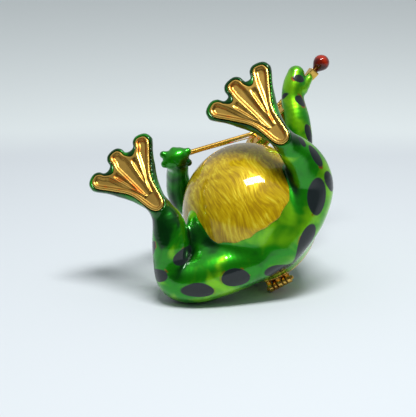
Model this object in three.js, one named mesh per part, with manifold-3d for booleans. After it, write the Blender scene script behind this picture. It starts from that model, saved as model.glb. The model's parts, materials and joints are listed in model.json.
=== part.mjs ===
// A hinged trinket box cast as a crouching frog that fiddles, lying on its back.
// The frog is drawn standing on its soles: +X its left, +Y its back, +Z up. The last step lays it down.
import * as THREE from 'three';
import * as BufferGeometryUtils from 'three/addons/utils/BufferGeometryUtils.js';
import Module from 'manifold-3d';

const wasm = await Module();
wasm.setup();

// Driving dimensions, in millimetres and degrees.
const GAP = 0.3;
const BODY = { centre: [0, 3.5, 25.5], radii: [20.4, 21.5, 20.5] };
const WALL = 1.8;
const SEAM_Z = 31.2;
const RIM = { height: 1.5, wall: 2.2 };
const BELLY = { depth: 0.7, edgeY: 4, edgeZ: 15.5, tilt: -24 };
const FOOT = {
  length: 24.6,
  notch: 19.8,
  toeBack: 2.4,
  toeHalfAngle: 5.8,
  heelRadius: 2.2,
  lip: 0.6,
  soleThickness: 1.4,
  top: 4.4,
};
const FEET = {
  right: { x: -21.1, y: -1.9, turn: -16, size: 0.92, spread: 25 },
  left: { x: 19.9, y: -2.5, turn: -15, size: 1.0, spread: 22.4 },
};
const HINGE = { x: -1.5, y: 25.9, z: SEAM_Z, radius: 1.25, pin: 0.5, bore: 0.8, sides: 24 };
const LEAF = { proud: 0.45, thickness: 1.0, width: 3.6 };
const KNUCKLES = [1.3, 1.0, 1.4, 1.0, 1.3];
const SPLIT_X = -0.75;
const MAGNET = { radius: 1.5, height: 0.8, y: -13.6, wall: 0.8 };
const HEAD = { centre: [0, -8, 48], radii: [14.5, 12.5, 10] };
const EYE = { centre: [9, -5, 57.2], radius: 4.1, settingRadius: 4.7 };
const LYING_POSE = [-128, 17, -23];

const GREEN = [0x1f8a2a, 0.12, 0.45];
const YELLOW = [0xc9a92a, 0.15, 0.4];
const GILT = [0xc79a45, 0.25, 1.0];
const RED = [0x9c2616, 0.08, 0.1];
const BLACK_GLASS = [0x0c0e10, 0.05, 0.0];
const STEEL = [0x8a8d90, 0.35, 1.0];

const frog = new THREE.Group();
const vec = (p) => new THREE.Vector3(...p);
const deg = THREE.MathUtils.degToRad;

// Adds one named piece with its own finish.
function place(name, solid, [color, roughness, metalness]) {
  const material = new THREE.MeshStandardMaterial({ color, roughness, metalness });
  const mesh = new THREE.Mesh(toGeometry(solid), material);
  mesh.name = name;
  frog.add(mesh);
}

// Closed geometry to a manifold solid.
function toSolid(geometry) {
  const bare = geometry.index ? geometry.toNonIndexed() : geometry.clone();
  bare.deleteAttribute('normal');
  bare.deleteAttribute('uv');
  const merged = BufferGeometryUtils.mergeVertices(bare, 1e-4);
  return new wasm.Manifold(new wasm.Mesh({
    numProp: 3,
    vertProperties: Float32Array.from(merged.attributes.position.array),
    triVerts: Uint32Array.from(merged.index.array),
  }));
}

// Manifold solid back to a geometry.
function toGeometry(solid) {
  const { vertProperties, triVerts } = solid.getMesh();
  const geometry = new THREE.BufferGeometry();
  geometry.setAttribute('position', new THREE.BufferAttribute(vertProperties, 3));
  geometry.setIndex(new THREE.BufferAttribute(triVerts, 1));
  return geometry;
}

const join = (...solids) => solids.reduce((a, b) => a.add(b));
const cut = (solid, ...tools) => tools.reduce((a, b) => a.subtract(b), solid);

function ellipsoid(centre, radii, around = 40, rings = 24) {
  const geometry = new THREE.SphereGeometry(1, around, rings);
  geometry.rotateX(Math.PI / 2);
  geometry.scale(...radii);
  geometry.translate(...centre);
  return toSolid(geometry);
}

function box(low, high) {
  const size = vec(high).sub(vec(low));
  const middle = vec(high).add(vec(low)).multiplyScalar(0.5);
  const geometry = new THREE.BoxGeometry(size.x, size.y, size.z);
  geometry.translate(middle.x, middle.y, middle.z);
  return toSolid(geometry);
}

// A round bar between two points.
function rod(start, end, radiusStart, radiusEnd = radiusStart, sides = 16) {
  const along = vec(end).sub(vec(start));
  const geometry = new THREE.CylinderGeometry(radiusEnd, radiusStart, along.length(), sides);
  const turn = new THREE.Quaternion().setFromUnitVectors(
    new THREE.Vector3(0, 1, 0),
    along.clone().normalize(),
  );
  geometry.applyQuaternion(turn);
  geometry.translate(...vec(start).addScaledVector(along, 0.5).toArray());
  return toSolid(geometry);
}

// A round bar along the hinge line.
const hingeRod = (start, end, radius) =>
  rod([start, HINGE.y, HINGE.z], [end, HINGE.y, HINGE.z], radius, radius, HINGE.sides);

// A rounded limb: a sphere stretched along a curve through stations [x, y, z, radius].
function limb(stations, around = 14, steps = 14) {
  const capRows = 3;
  const curve = new THREE.CatmullRomCurve3(stations.map(([x, y, z]) => new THREE.Vector3(x, y, z)));
  const widths = new THREE.CatmullRomCurve3(stations.map((s, i) => new THREE.Vector3(i, s[3], 0)));
  const frames = curve.computeFrenetFrames(steps);
  const rows = steps + 2 * capRows;
  const geometry = new THREE.SphereGeometry(1, around, rows);
  const position = geometry.attributes.position;
  for (let i = 0; i < position.count; i += 1) {
    const row = Math.floor(i / (around + 1));
    const step = THREE.MathUtils.clamp(row - capRows, 0, steps);
    const width = widths.getPoint(step / steps).y;
    const beyond = row < capRows ? capRows - row : Math.max(0, row - capRows - steps);
    const capAngle = (beyond / capRows) * (Math.PI / 2);
    const side = row < capRows ? -1 : 1;
    const azimuth = ((i % (around + 1)) % around) * ((2 * Math.PI) / around);
    const point = curve.getPoint(step / steps);
    point.addScaledVector(frames.tangents[step], side * width * Math.sin(capAngle));
    const reach = width * Math.cos(capAngle);
    point.addScaledVector(frames.normals[step], reach * Math.cos(azimuth));
    point.addScaledVector(frames.binormals[step], reach * Math.sin(azimuth));
    position.setXYZ(i, point.x, point.y, point.z);
  }
  const solid = toSolid(geometry);
  return solid.volume() > 0 ? solid : toSolid(flipped(geometry));
}

function flipped(geometry) {
  const turned = geometry.clone();
  turned.index.array.reverse();
  return turned;
}

const bodySolid = (offset, around = 32, rings = 20) =>
  ellipsoid(BODY.centre, BODY.radii.map((r) => r + offset), around, rings);
const below = (z) => box([-60, -60, -60], [60, 60, z]);
const above = (z) => box([-60, -60, z], [60, 60, 120]);

// Half-widths of the body where the flat seam crosses it.
function seamRadii(offset, z = SEAM_Z) {
  const share = Math.sqrt(1 - ((z - BODY.centre[2]) / BODY.radii[2]) ** 2);
  return [BODY.radii[0] * share + offset, BODY.radii[1] * share + offset];
}

function ellipseColumn(offset, low, high) {
  const [rx, ry] = seamRadii(offset);
  const geometry = new THREE.CylinderGeometry(1, 1, high - low, 40);
  geometry.rotateX(Math.PI / 2);
  geometry.scale(rx, ry, 1);
  geometry.translate(BODY.centre[0], BODY.centre[1], (low + high) / 2);
  return toSolid(geometry);
}

// Leaf boxes of the hinge, wrapped by the shells with a clearance.
const leafLength = KNUCKLES.reduce((a, b) => a + b) + GAP * (KNUCKLES.length - 1);
const leafLow = HINGE.x - leafLength / 2;
function leafPlate(clearance, low, high) {
  const block = box(
    [leafLow - clearance, HINGE.y - 8, low - clearance],
    [leafLow + leafLength + clearance, HINGE.y + 2, high + clearance],
  );
  return cut(
    block.intersect(bodySolid(LEAF.proud + clearance)),
    bodySolid(LEAF.proud - LEAF.thickness - clearance),
  );
}
const baseLeaf = (clearance) => leafPlate(clearance, SEAM_Z - LEAF.width, SEAM_Z - GAP / 2);
const lidLeaf = (clearance) => leafPlate(clearance, SEAM_Z + GAP / 2, SEAM_Z + LEAF.width);
const hingeRun = (beyond, radius) =>
  hingeRod(leafLow - beyond, leafLow + leafLength + beyond, radius);
const barrelSpace = () => hingeRun(1, HINGE.radius + GAP);

// A rim: a flat gilt ring that lines one mouth of the box.
function rim(low, high, outer = -0.05) {
  return cut(ellipseColumn(outer, low, high), ellipseColumn(-RIM.wall, low - 1, high + 1));
}

const baseRimLow = SEAM_Z - GAP / 2 - RIM.height;
const lidRimHigh = SEAM_Z + GAP / 2 + RIM.height;

function baseShell() {
  const hollow = bodySolid(-WALL, 24, 14);
  const shell = cut(bodySolid(0), hollow, above(baseRimLow - GAP));
  const field = cut(bellyField(GAP), bodySolid(-BELLY.depth - GAP, 28, 18));
  return cut(shell, field, baseLeaf(GAP), barrelSpace());
}

// Everything under the tilted plane where the belly's enamel ends.
function bellyField(clearance) {
  const geometry = new THREE.BoxGeometry(80, 80, 40);
  geometry.translate(0, 0, clearance - 20);
  geometry.rotateX(deg(BELLY.tilt));
  geometry.translate(0, BELLY.edgeY, BELLY.edgeZ);
  return toSolid(geometry);
}

function bellyEnamel() {
  const skin = cut(bodySolid(0.2), bodySolid(-BELLY.depth, 28, 18));
  return skin.intersect(bellyField(0));
}

// Outline of a webbed foot: heel at the origin, toes towards -Y.
function footShape(grow, spread) {
  const polar = (radius, angle) =>
    new THREE.Vector3(radius * Math.sin(deg(angle)), -radius * Math.cos(deg(angle)), 0);
  const heel = FOOT.heelRadius + grow;
  const half = FOOT.toeHalfAngle + 1.5 * grow;
  const edge = spread + 3 + 4 * grow;
  const points = [polar(heel, -100), polar(12, -edge)];
  for (const toe of [-spread, 0, spread]) {
    points.push(polar(FOOT.length - FOOT.toeBack, toe - half));
    points.push(polar(FOOT.length + grow, toe));
    points.push(polar(FOOT.length - FOOT.toeBack, toe + half));
    if (toe < spread) {
      points.push(polar(FOOT.notch + grow, toe + spread / 2));
    }
  }
  points.push(polar(12, edge), polar(heel, 100), polar(heel, 180));
  return smoothShape(points, 64);
}

// A closed flat outline drawn smoothly through its points.
function smoothShape(points, divisions) {
  const curve = new THREE.CatmullRomCurve3(points, true, 'centripetal');
  const outline = curve.getPoints(divisions).slice(0, -1);
  return new THREE.Shape(outline.map((p) => new THREE.Vector2(p.x, p.y)));
}

// Sets a geometry drawn round the heel in its place on the frog.
function atFoot(geometry, { x, y, turn, size }) {
  geometry.scale(size, size, 1);
  geometry.rotateZ(deg(turn));
  geometry.translate(x, y, 0);
  return toSolid(geometry);
}

function footPlate(grow, low, high, foot) {
  const geometry = new THREE.ExtrudeGeometry(footShape(grow, foot.spread), {
    depth: high - low,
    bevelEnabled: false,
  });
  geometry.translate(0, 0, low);
  return atFoot(geometry, foot);
}

// The gilt tread of one foot, with a tapered channel along each toe.
function sole(foot) {
  const length = FOOT.length - 9.5;
  const channels = [-foot.spread, 0, foot.spread].map((toe) => {
    const wedge = new THREE.CylinderGeometry(1.5, 0.5, length, 3);
    wedge.scale(1, 1, 0.5);
    wedge.translate(0, length / 2 + 6.5, 0);
    wedge.rotateZ(deg(180 + toe));
    return atFoot(wedge, foot);
  });
  return cut(footPlate(0, 0, FOOT.soleThickness, foot), ...channels);
}

function footCasting(foot) {
  const low = FOOT.soleThickness + GAP;
  const web = footPlate(FOOT.lip, low, low + 1.5, foot);
  const bones = [-foot.spread, 0, foot.spread].map((toe) => {
    const angle = deg(toe + foot.turn);
    const at = (r) => [
      foot.x + foot.size * r * Math.sin(angle),
      foot.y - foot.size * r * Math.cos(angle),
    ];
    return limb([
      [...at(0.5), FOOT.top - 0.4, 2.2],
      [...at(12), FOOT.top - 1.0, 1.7],
      [...at(FOOT.length - 1.9), FOOT.top - 1.2, 2.0],
    ], 8, 4);
  });
  return join(web, ...bones);
}

const RIGHT_LEG = [
  [-21.0, -1.0, 4.0, 3.1],
  [-21.2, 3.0, 6.2, 4.7],
  [-23.2, 7.4, 8.8, 5.5],
  [-25.5, 11.6, 11.6, 5.6],
  [-26.0, 16.0, 14.6, 6.6],
  [-21.7, 18.4, 16.0, 7.2],
  [-15.9, 19.0, 17.0, 7.5],
  [-9.4, 19.6, 18.2, 7.2],
  [-3.2, 20.4, 19.2, 6.4],
];
const LEFT_LEG = [
  [20.2, -1.8, 4.4, 3.3],
  [21.2, 0.0, 7.2, 4.4],
  [22.1, 2.6, 11.2, 5.4],
  [22.0, 5.6, 14.2, 6.0],
  [20.4, 9.0, 17.2, 6.4],
  [16.2, 13.0, 19.0, 6.6],
  [11.0, 16.6, 19.6, 6.6],
  [4.8, 19.6, 19.6, 6.4],
];

// One leg and its foot, kept to its own side of the rump.
function leg(stations, foot, side) {
  const inner = side < 0 ? SPLIT_X : -60;
  const outer = side < 0 ? 60 : SPLIT_X + GAP;
  const otherSide = box([inner, 10, 8], [outer, 40, 40]);
  const floorCut = box([-60, -60, -5], [60, 60, FOOT.soleThickness + GAP]);
  const casting = join(limb(stations, 14, 16), footCasting(foot));
  return cut(casting, bodySolid(2 * GAP), floorCut, otherSide, above(SEAM_Z - 1));
}

function lidShell() {
  const shell = cut(bodySolid(0), bodySolid(-WALL, 24, 14), below(lidRimHigh + GAP));
  return cut(shell, lidLeaf(GAP), barrelSpace());
}

// Where each knuckle lies: even ones belong to the base, odd ones to the lid.
function knuckleSpans(first) {
  const spans = [];
  let x = leafLow;
  KNUCKLES.forEach((length, i) => {
    if (i % 2 === first) {
      spans.push([x, x + length]);
    }
    x += length + GAP;
  });
  return spans;
}

function hingeLeaf(plate, first, reach, rise) {
  const low = Math.min(HINGE.z, HINGE.z + rise);
  const high = Math.max(HINGE.z, HINGE.z + rise);
  const knuckles = knuckleSpans(first).flatMap(([start, end]) => [
    box([start, HINGE.y - reach, low], [end, HINGE.y, high]),
    hingeRod(start, end, HINGE.radius),
  ]);
  const space = knuckleSpans(1 - first).map(([start, end]) =>
    hingeRod(start - GAP, end + GAP, HINGE.radius + GAP));
  return cut(join(plate, ...knuckles), ...space, hingeRun(1, HINGE.bore));
}

const baseHingeLeaf = () => hingeLeaf(baseLeaf(0), 0, 1.6, -1.1);
const lidHingeLeaf = () => hingeLeaf(lidLeaf(0), 1, 2.0, 1.1);

const magnetRod = (low, high, grow, sides = 20) => rod(
  [0, MAGNET.y, low],
  [0, MAGNET.y, high],
  MAGNET.radius + grow,
  MAGNET.radius + grow,
  sides,
);
const magnet = (low) => magnetRod(low, low + MAGNET.height, 0);

// A rim with a small lug inside it that carries its magnet.
function rimWithLug(low, high) {
  const lug = join(
    magnetRod(low, high, MAGNET.wall + GAP, 24),
    box([-1.2, MAGNET.y - 3.6, low], [1.2, MAGNET.y - 1, high]),
  );
  return join(rim(low, high), lug.intersect(ellipseColumn(-0.1, low - 1, high + 1)));
}

function baseRim() {
  const high = SEAM_Z - GAP / 2;
  const pocket = magnetRod(high - MAGNET.height - GAP, high + 3, GAP);
  return cut(rimWithLug(baseRimLow, high), pocket, baseLeaf(GAP), barrelSpace());
}

function lidRim() {
  const low = SEAM_Z + GAP / 2;
  const pocket = magnetRod(low - 3, low + MAGNET.height + GAP, GAP);
  return cut(rimWithLug(low, lidRimHigh), pocket, lidLeaf(GAP), barrelSpace());
}

// The fiddle's own axes: along its neck, out of its face, and across.
const FIDDLE = {
  tail: [8.0, -20.6, 36.0],
  along: new THREE.Vector3(0.91, -0.41, -0.04).normalize(),
  thickness: 3.4,
  bodyLength: 19,
  neckLength: 12.5,
};
const fiddleFace = new THREE.Vector3(-0.31, -0.67, -0.67)
  .projectOnPlane(FIDDLE.along).normalize();
const fiddleAcross = new THREE.Vector3().crossVectors(fiddleFace, FIDDLE.along);

function intoFiddle(geometry) {
  const basis = new THREE.Matrix4().makeBasis(FIDDLE.along, fiddleAcross, fiddleFace);
  basis.setPosition(...FIDDLE.tail);
  geometry.applyMatrix4(basis);
  return toSolid(geometry);
}

function fiddleOutline() {
  const half = [
    [0, 2.2],
    [0.6, 4.4],
    [4.2, 5.9],
    [8.2, 4.6],
    [10.4, 3.6],
    [12.6, 4.2],
    [15.6, 4.9],
    [18.2, 3.4],
    [FIDDLE.bodyLength, 1.2],
  ];
  const sides = [...half, ...half.slice().reverse().map(([x, y]) => [x, -y])];
  return smoothShape(sides.map(([x, y]) => new THREE.Vector3(x, y, 0)), 60);
}

function fiddleBody() {
  const geometry = new THREE.ExtrudeGeometry(fiddleOutline(), {
    depth: FIDDLE.thickness,
    bevelEnabled: false,
  });
  geometry.translate(0, 0, -FIDDLE.thickness / 2);
  return intoFiddle(geometry);
}

function fiddleBar(x0, x1, half0, half1, low, high) {
  const shape = new THREE.Shape([
    new THREE.Vector2(x0, -half0),
    new THREE.Vector2(x1, -half1),
    new THREE.Vector2(x1, half1),
    new THREE.Vector2(x0, half0),
  ]);
  const geometry = new THREE.ExtrudeGeometry(shape, { depth: high - low, bevelEnabled: false });
  geometry.translate(0, 0, low);
  return intoFiddle(geometry);
}

function fiddleNeck() {
  const start = FIDDLE.bodyLength + GAP;
  const end = start + FIDDLE.neckLength;
  return join(
    fiddleBar(start, end - 3.5, 1.0, 0.8, 0.2, 1.7),
    fiddleBar(end - 4, end, 0.8, 1.9, -0.8, 1.7),
  );
}

const onFiddle = (a, b, c) => new THREE.Vector3(...FIDDLE.tail)
  .addScaledVector(FIDDLE.along, a)
  .addScaledVector(fiddleAcross, b)
  .addScaledVector(fiddleFace, c);

function scrollBead() {
  const end = FIDDLE.bodyLength + FIDDLE.neckLength + 2 * GAP;
  const low = onFiddle(end + 1.2, 0, 0.4);
  const high = onFiddle(end + 3.0, 0, 0.4);
  return limb([[...low.toArray(), 1.2], [...high.toArray(), 2.4]], 14, 3);
}

const BOW = {
  start: [-12.6, -20.2, 15.6],
  radius: 0.75,
  tipRadius: 0.5,
  hairRadius: 0.3,
  hairDrop: 1.35,
};
const bowEnd = onFiddle(3.2, -3.5, FIDDLE.thickness / 2 + BOW.radius + GAP + 1.4);

const bowStick = (clearance) => rod(
  BOW.start,
  bowEnd.toArray(),
  BOW.radius + clearance,
  BOW.tipRadius + clearance,
  12,
);

// The hair lies beside the stick; it starts a share of the way along.
function bowHair(clearance, startShare) {
  const drop = fiddleFace.clone().multiplyScalar(-BOW.hairDrop);
  const start = vec(BOW.start).lerp(bowEnd, startShare).add(drop);
  const radius = BOW.hairRadius + clearance;
  return rod(start.toArray(), bowEnd.clone().add(drop).toArray(), radius, radius, 8);
}

const RIGHT_ARM = [
  [-14.6, -8.5, 39.0, 4.2],
  [-18.4, -14.6, 32.0, 4.0],
  [-16.0, -18.2, 25.0, 3.6],
  [-13.6, -19.2, 19.8, 3.2],
];
const LEFT_ARM = [
  [15.0, -7.5, 38.5, 4.4],
  [21.5, -13.6, 36.4, 4.1],
  [24.4, -20.6, 34.2, 4.2],
  [26.4, -27.4, 32.8, 3.6],
  [28.8, -31.2, 32.0, 3.6],
  [31.0, -34.2, 31.2, 2.7],
];
const THUMB = [
  [30.6, -29.6, 32.6, 2.2],
  [34.0, -31.6, 33.0, 1.2],
];
const FIST = { centre: [-12.8, -19.9, 16.2], fingers: [-2.4, -0.8, 0.8, 2.4] };

// A closed fist: a palm with four rounded fingers wrapped over the bow.
function fist([x, y, z]) {
  const fingers = FIST.fingers.map((step) =>
    ellipsoid([x + step, y - 1.4, z - 0.4], [1.2, 2.6, 3.0], 8, 5));
  return join(ellipsoid([x, y, z], [4.0, 3.2, 3.4], 12, 8), ...fingers);
}

function rightArm() {
  const arm = join(limb(RIGHT_ARM, 12, 12), fist(FIST.centre));
  return cut(arm, bodySolid(2 * GAP), headSolid(GAP), bowStick(GAP), bowHair(GAP, 0.17));
}

function leftArm() {
  const neckStart = FIDDLE.bodyLength - 1;
  const neckEnd = FIDDLE.bodyLength + FIDDLE.neckLength + 1;
  const boutStart = FIDDLE.bodyLength - 12;
  const neckSpace = fiddleBar(neckStart, neckEnd, 2.2, 2.4, -1.1, 2.0);
  const boutSpace = fiddleBar(boutStart, FIDDLE.bodyLength + GAP, 6, 5, -2.0, 2.0);
  const arm = join(limb(LEFT_ARM, 14, 16), limb(THUMB, 12, 4));
  return cut(arm, bodySolid(GAP), headSolid(GAP), neckSpace, boutSpace);
}

const headSolid = (offset) => ellipsoid(HEAD.centre, HEAD.radii.map((r) => r + offset), 24, 14);

function head() {
  const brows = [-1, 1].map((side) => ellipsoid(
    [side * EYE.centre[0], EYE.centre[1] + 1, EYE.centre[2] - 2.4],
    [5.2, 5.2, 4.6],
    14,
    8,
  ));
  const settings = [-1, 1].map((side) => eyeBall(side, EYE.settingRadius + GAP));
  return cut(join(headSolid(0), ...brows), bodySolid(GAP), ...settings);
}

function eyeBall(side, radius) {
  const [x, y, z] = EYE.centre;
  return ellipsoid([side * x, y, z], [radius, radius, radius], 14, 8);
}

function eyeSetting(side) {
  const [x, y, z] = EYE.centre;
  const outward = new THREE.Vector3(side * 0.35, -0.25, 1).normalize();
  const start = new THREE.Vector3(side * x, y, z);
  const top = start.clone().addScaledVector(outward, 0.2);
  const bottom = start.clone().addScaledVector(outward, -0.9);
  const disc = rod(bottom.toArray(), top.toArray(), EYE.settingRadius + 3, EYE.settingRadius + 3, 12);
  const ball = eyeBall(side, EYE.settingRadius);
  return cut(ball.intersect(disc), eyeBall(side, EYE.radius + GAP));
}

place('base_shell', baseShell(), GREEN);
place('belly_enamel', bellyEnamel(), YELLOW);
place('base_rim', baseRim(), GILT);
place('base_magnet', magnet(SEAM_Z - GAP / 2 - MAGNET.height), STEEL);
place('right_leg', leg(RIGHT_LEG, FEET.right, -1), GREEN);
place('left_leg', leg(LEFT_LEG, FEET.left, 1), GREEN);
place('right_sole', sole(FEET.right), GILT);
place('left_sole', sole(FEET.left), GILT);
place('hinge_base_leaf', baseHingeLeaf(), GILT);
place('hinge_pin', hingeRun(0.2, HINGE.pin), GILT);
place('lid_shell', lidShell(), GREEN);
place('lid_rim', lidRim(), GILT);
place('lid_magnet', magnet(SEAM_Z + GAP / 2), STEEL);
place('hinge_lid_leaf', lidHingeLeaf(), GILT);
place('head', head(), GREEN);
for (const [side, word] of [[-1, 'right'], [1, 'left']]) {
  place(`${word}_eye`, eyeBall(side, EYE.radius), BLACK_GLASS);
  place(`${word}_eye_setting`, eyeSetting(side), GILT);
}
place('right_arm', rightArm(), GREEN);
place('left_arm', leftArm(), GREEN);
place('bow_stick', bowStick(0), GILT);
place('bow_hair', bowHair(0, 0.2), GILT);
place('fiddle_body', fiddleBody(), GILT);
place('fiddle_neck', fiddleNeck(), GILT);
place('scroll_bead', scrollBead(), RED);

// Lays the frog on its back and puts the middle of its underside at the origin.
frog.rotation.set(...LYING_POSE.map(deg), 'XYZ');
const object = new THREE.Group();
object.add(frog);
object.updateMatrixWorld(true);
const bounds = new THREE.Box3().setFromObject(object, true);
const middle = bounds.getCenter(new THREE.Vector3());
frog.position.set(-middle.x, -middle.y, -bounds.min.z);
object.updateMatrixWorld(true);

export default object;
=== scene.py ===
"""A frog trinket box lying on its back: castings, enamels, gilt parts and the table it lies on."""

import json
import math

import bpy
import numpy as np
from mathutils import Matrix, Vector


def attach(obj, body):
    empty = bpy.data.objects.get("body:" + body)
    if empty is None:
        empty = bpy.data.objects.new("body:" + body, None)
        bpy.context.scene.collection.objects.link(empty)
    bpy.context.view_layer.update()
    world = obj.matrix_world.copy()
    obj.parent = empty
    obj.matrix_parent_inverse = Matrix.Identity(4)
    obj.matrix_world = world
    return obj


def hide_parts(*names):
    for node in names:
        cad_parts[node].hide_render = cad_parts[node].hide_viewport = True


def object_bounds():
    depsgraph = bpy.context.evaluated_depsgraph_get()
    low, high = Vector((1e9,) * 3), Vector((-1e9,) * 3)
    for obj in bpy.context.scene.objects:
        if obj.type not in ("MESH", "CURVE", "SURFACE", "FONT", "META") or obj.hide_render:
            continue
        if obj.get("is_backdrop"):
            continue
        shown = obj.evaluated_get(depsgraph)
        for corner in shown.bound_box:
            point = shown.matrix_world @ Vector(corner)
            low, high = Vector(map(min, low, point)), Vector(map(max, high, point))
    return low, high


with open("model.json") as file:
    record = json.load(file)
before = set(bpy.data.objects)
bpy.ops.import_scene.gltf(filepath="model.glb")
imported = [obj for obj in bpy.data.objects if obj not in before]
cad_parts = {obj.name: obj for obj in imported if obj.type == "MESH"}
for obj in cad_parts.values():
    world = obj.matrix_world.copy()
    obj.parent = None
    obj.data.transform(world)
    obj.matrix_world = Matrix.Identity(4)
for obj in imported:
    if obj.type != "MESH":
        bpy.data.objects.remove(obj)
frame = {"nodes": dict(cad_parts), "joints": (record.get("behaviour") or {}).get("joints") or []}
CAD_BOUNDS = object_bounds()

bl_info = {
    "name": "Frog Trinket Box",
    "version": (1, 0, 0),
    "blender": (4, 5, 0),
    "location": "3D View > Sidebar > Frog Box",
    "description": "Builds the enamelled frog box piece by piece",
    "category": "Object",
}

MM = 0.001
UP = 2

# The frog is drawn standing on its soles, in millimetres: +X its left, +Y its back, +Z up.
BODY_CENTRE = (0.0, 3.5, 25.5)
BODY_RADII = (20.4, 21.5, 20.5)
WALL = 1.8
SEAM_Z = 31.2
SEAM_GAP = 0.3
RIM_HEIGHT = 1.5
RIM_WALL = 2.2
RIM_SEAT = 1.0
EDGE = 0.32
LYING_TURNS = (-128.0, 17.0, -23.0)

BELLY_EDGE = (4.0, 15.5)
BELLY_TILT = -24.0
BELLY_RISE = 0.14

FOOT_LENGTH = 24.6
HEEL_RADIUS = 2.2
SOLE_THICKNESS = 1.4
TROUGH = 0.6
FOOT_TOP = 4.4
# Each foot: its heel's x and y, the angle that it points to, its size and the angle between toes.
FEET = {
    "right": (-21.1, -1.9, -16.0, 0.92, 25.0),
    "left": (19.9, -2.5, -15.0, 1.0, 22.4),
}

# Limb stations: x, y, z and radius.
RIGHT_LEG = (
    (-21.0, -1.0, 4.0, 3.1),
    (-21.2, 3.0, 6.2, 4.7),
    (-23.2, 7.4, 8.8, 5.5),
    (-25.5, 11.6, 11.6, 5.6),
    (-26.0, 16.0, 14.6, 6.6),
    (-21.7, 18.4, 16.0, 7.2),
    (-15.9, 19.0, 17.0, 7.5),
    (-9.4, 19.6, 18.2, 7.2),
    (-3.2, 20.4, 19.2, 6.4),
)
LEFT_LEG = (
    (20.2, -1.8, 4.4, 3.3),
    (21.2, 0.0, 7.2, 4.4),
    (22.1, 2.6, 11.2, 5.4),
    (22.0, 5.6, 14.2, 6.0),
    (20.4, 9.0, 17.2, 6.4),
    (16.2, 13.0, 19.0, 6.6),
    (11.0, 16.6, 19.6, 6.6),
    (4.8, 19.6, 19.6, 6.4),
)
RIGHT_ARM = (
    (-14.6, -8.5, 39.0, 4.2),
    (-18.4, -14.6, 32.0, 4.0),
    (-16.0, -18.2, 25.0, 3.6),
    (-13.6, -19.2, 19.8, 3.2),
)
LEFT_ARM = (
    (15.0, -7.5, 38.5, 4.4),
    (21.5, -13.6, 36.4, 4.1),
    (24.4, -20.6, 34.2, 4.2),
    (26.4, -27.4, 32.8, 3.6),
    (28.8, -31.2, 32.0, 3.6),
    (31.0, -34.2, 31.2, 2.7),
)
THUMB = ((30.6, -29.6, 32.6, 2.2), (34.0, -31.6, 33.0, 1.2))
FIST = (-12.8, -19.9, 16.2)
FIST_RADII = (4.3, 3.3, 3.3)
FIST_REACH = 6.5
# Finger lobes of the fist: across, up and forward from its middle.
FINGERS = (
    (-3.8, 1.2, 0.6),
    (-0.7, 2.4, 0.8),
    (3.6, 2.2, 0.6),
    (3.8, -1.2, 0.8),
    (0.5, -1.5, 1.9),
    (-3.4, -1.7, 0.9),
)
FLANK = (
    (-15.0, 3.0, 11.6, 1.5),
    (-15.6, 5.0, 12.4, 2.2),
    (-15.4, 7.0, 13.4, 3.2),
    (-15.8, 12.0, 15.6, 4.6),
)
# Middle of the shin that the green enamel makes paler: painted light.
PAINTED_LIGHT_SHIN = (-23.5, 5.0, 9.0)
HEAD_CENTRE = (0.0, -8.0, 48.0)
HEAD_RADII = (14.5, 12.5, 10.0)
EYE = (9.0, -5.0, 57.2)
EYE_RADIUS = 4.1

HINGE_POINT = (-1.5, 25.9, SEAM_Z)
KNUCKLES = (1.3, 1.0, 1.4, 1.0, 1.3)
KNUCKLE_RADIUS = 1.3
KNUCKLE_GAP = 0.1
LEAF_WIDTH = 3.6
LEAF_PROUD = 0.45

FIDDLE_TAIL = (8.0, -20.6, 36.0)
FIDDLE_ALONG = (0.91, -0.41, -0.04)
FIDDLE_FACE = (-0.31, -0.67, -0.67)
FIDDLE_LENGTH = 19.0
FIDDLE_THICKNESS = 3.4
NECK_LENGTH = 12.5
BOW_RADIUS = 0.75

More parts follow.
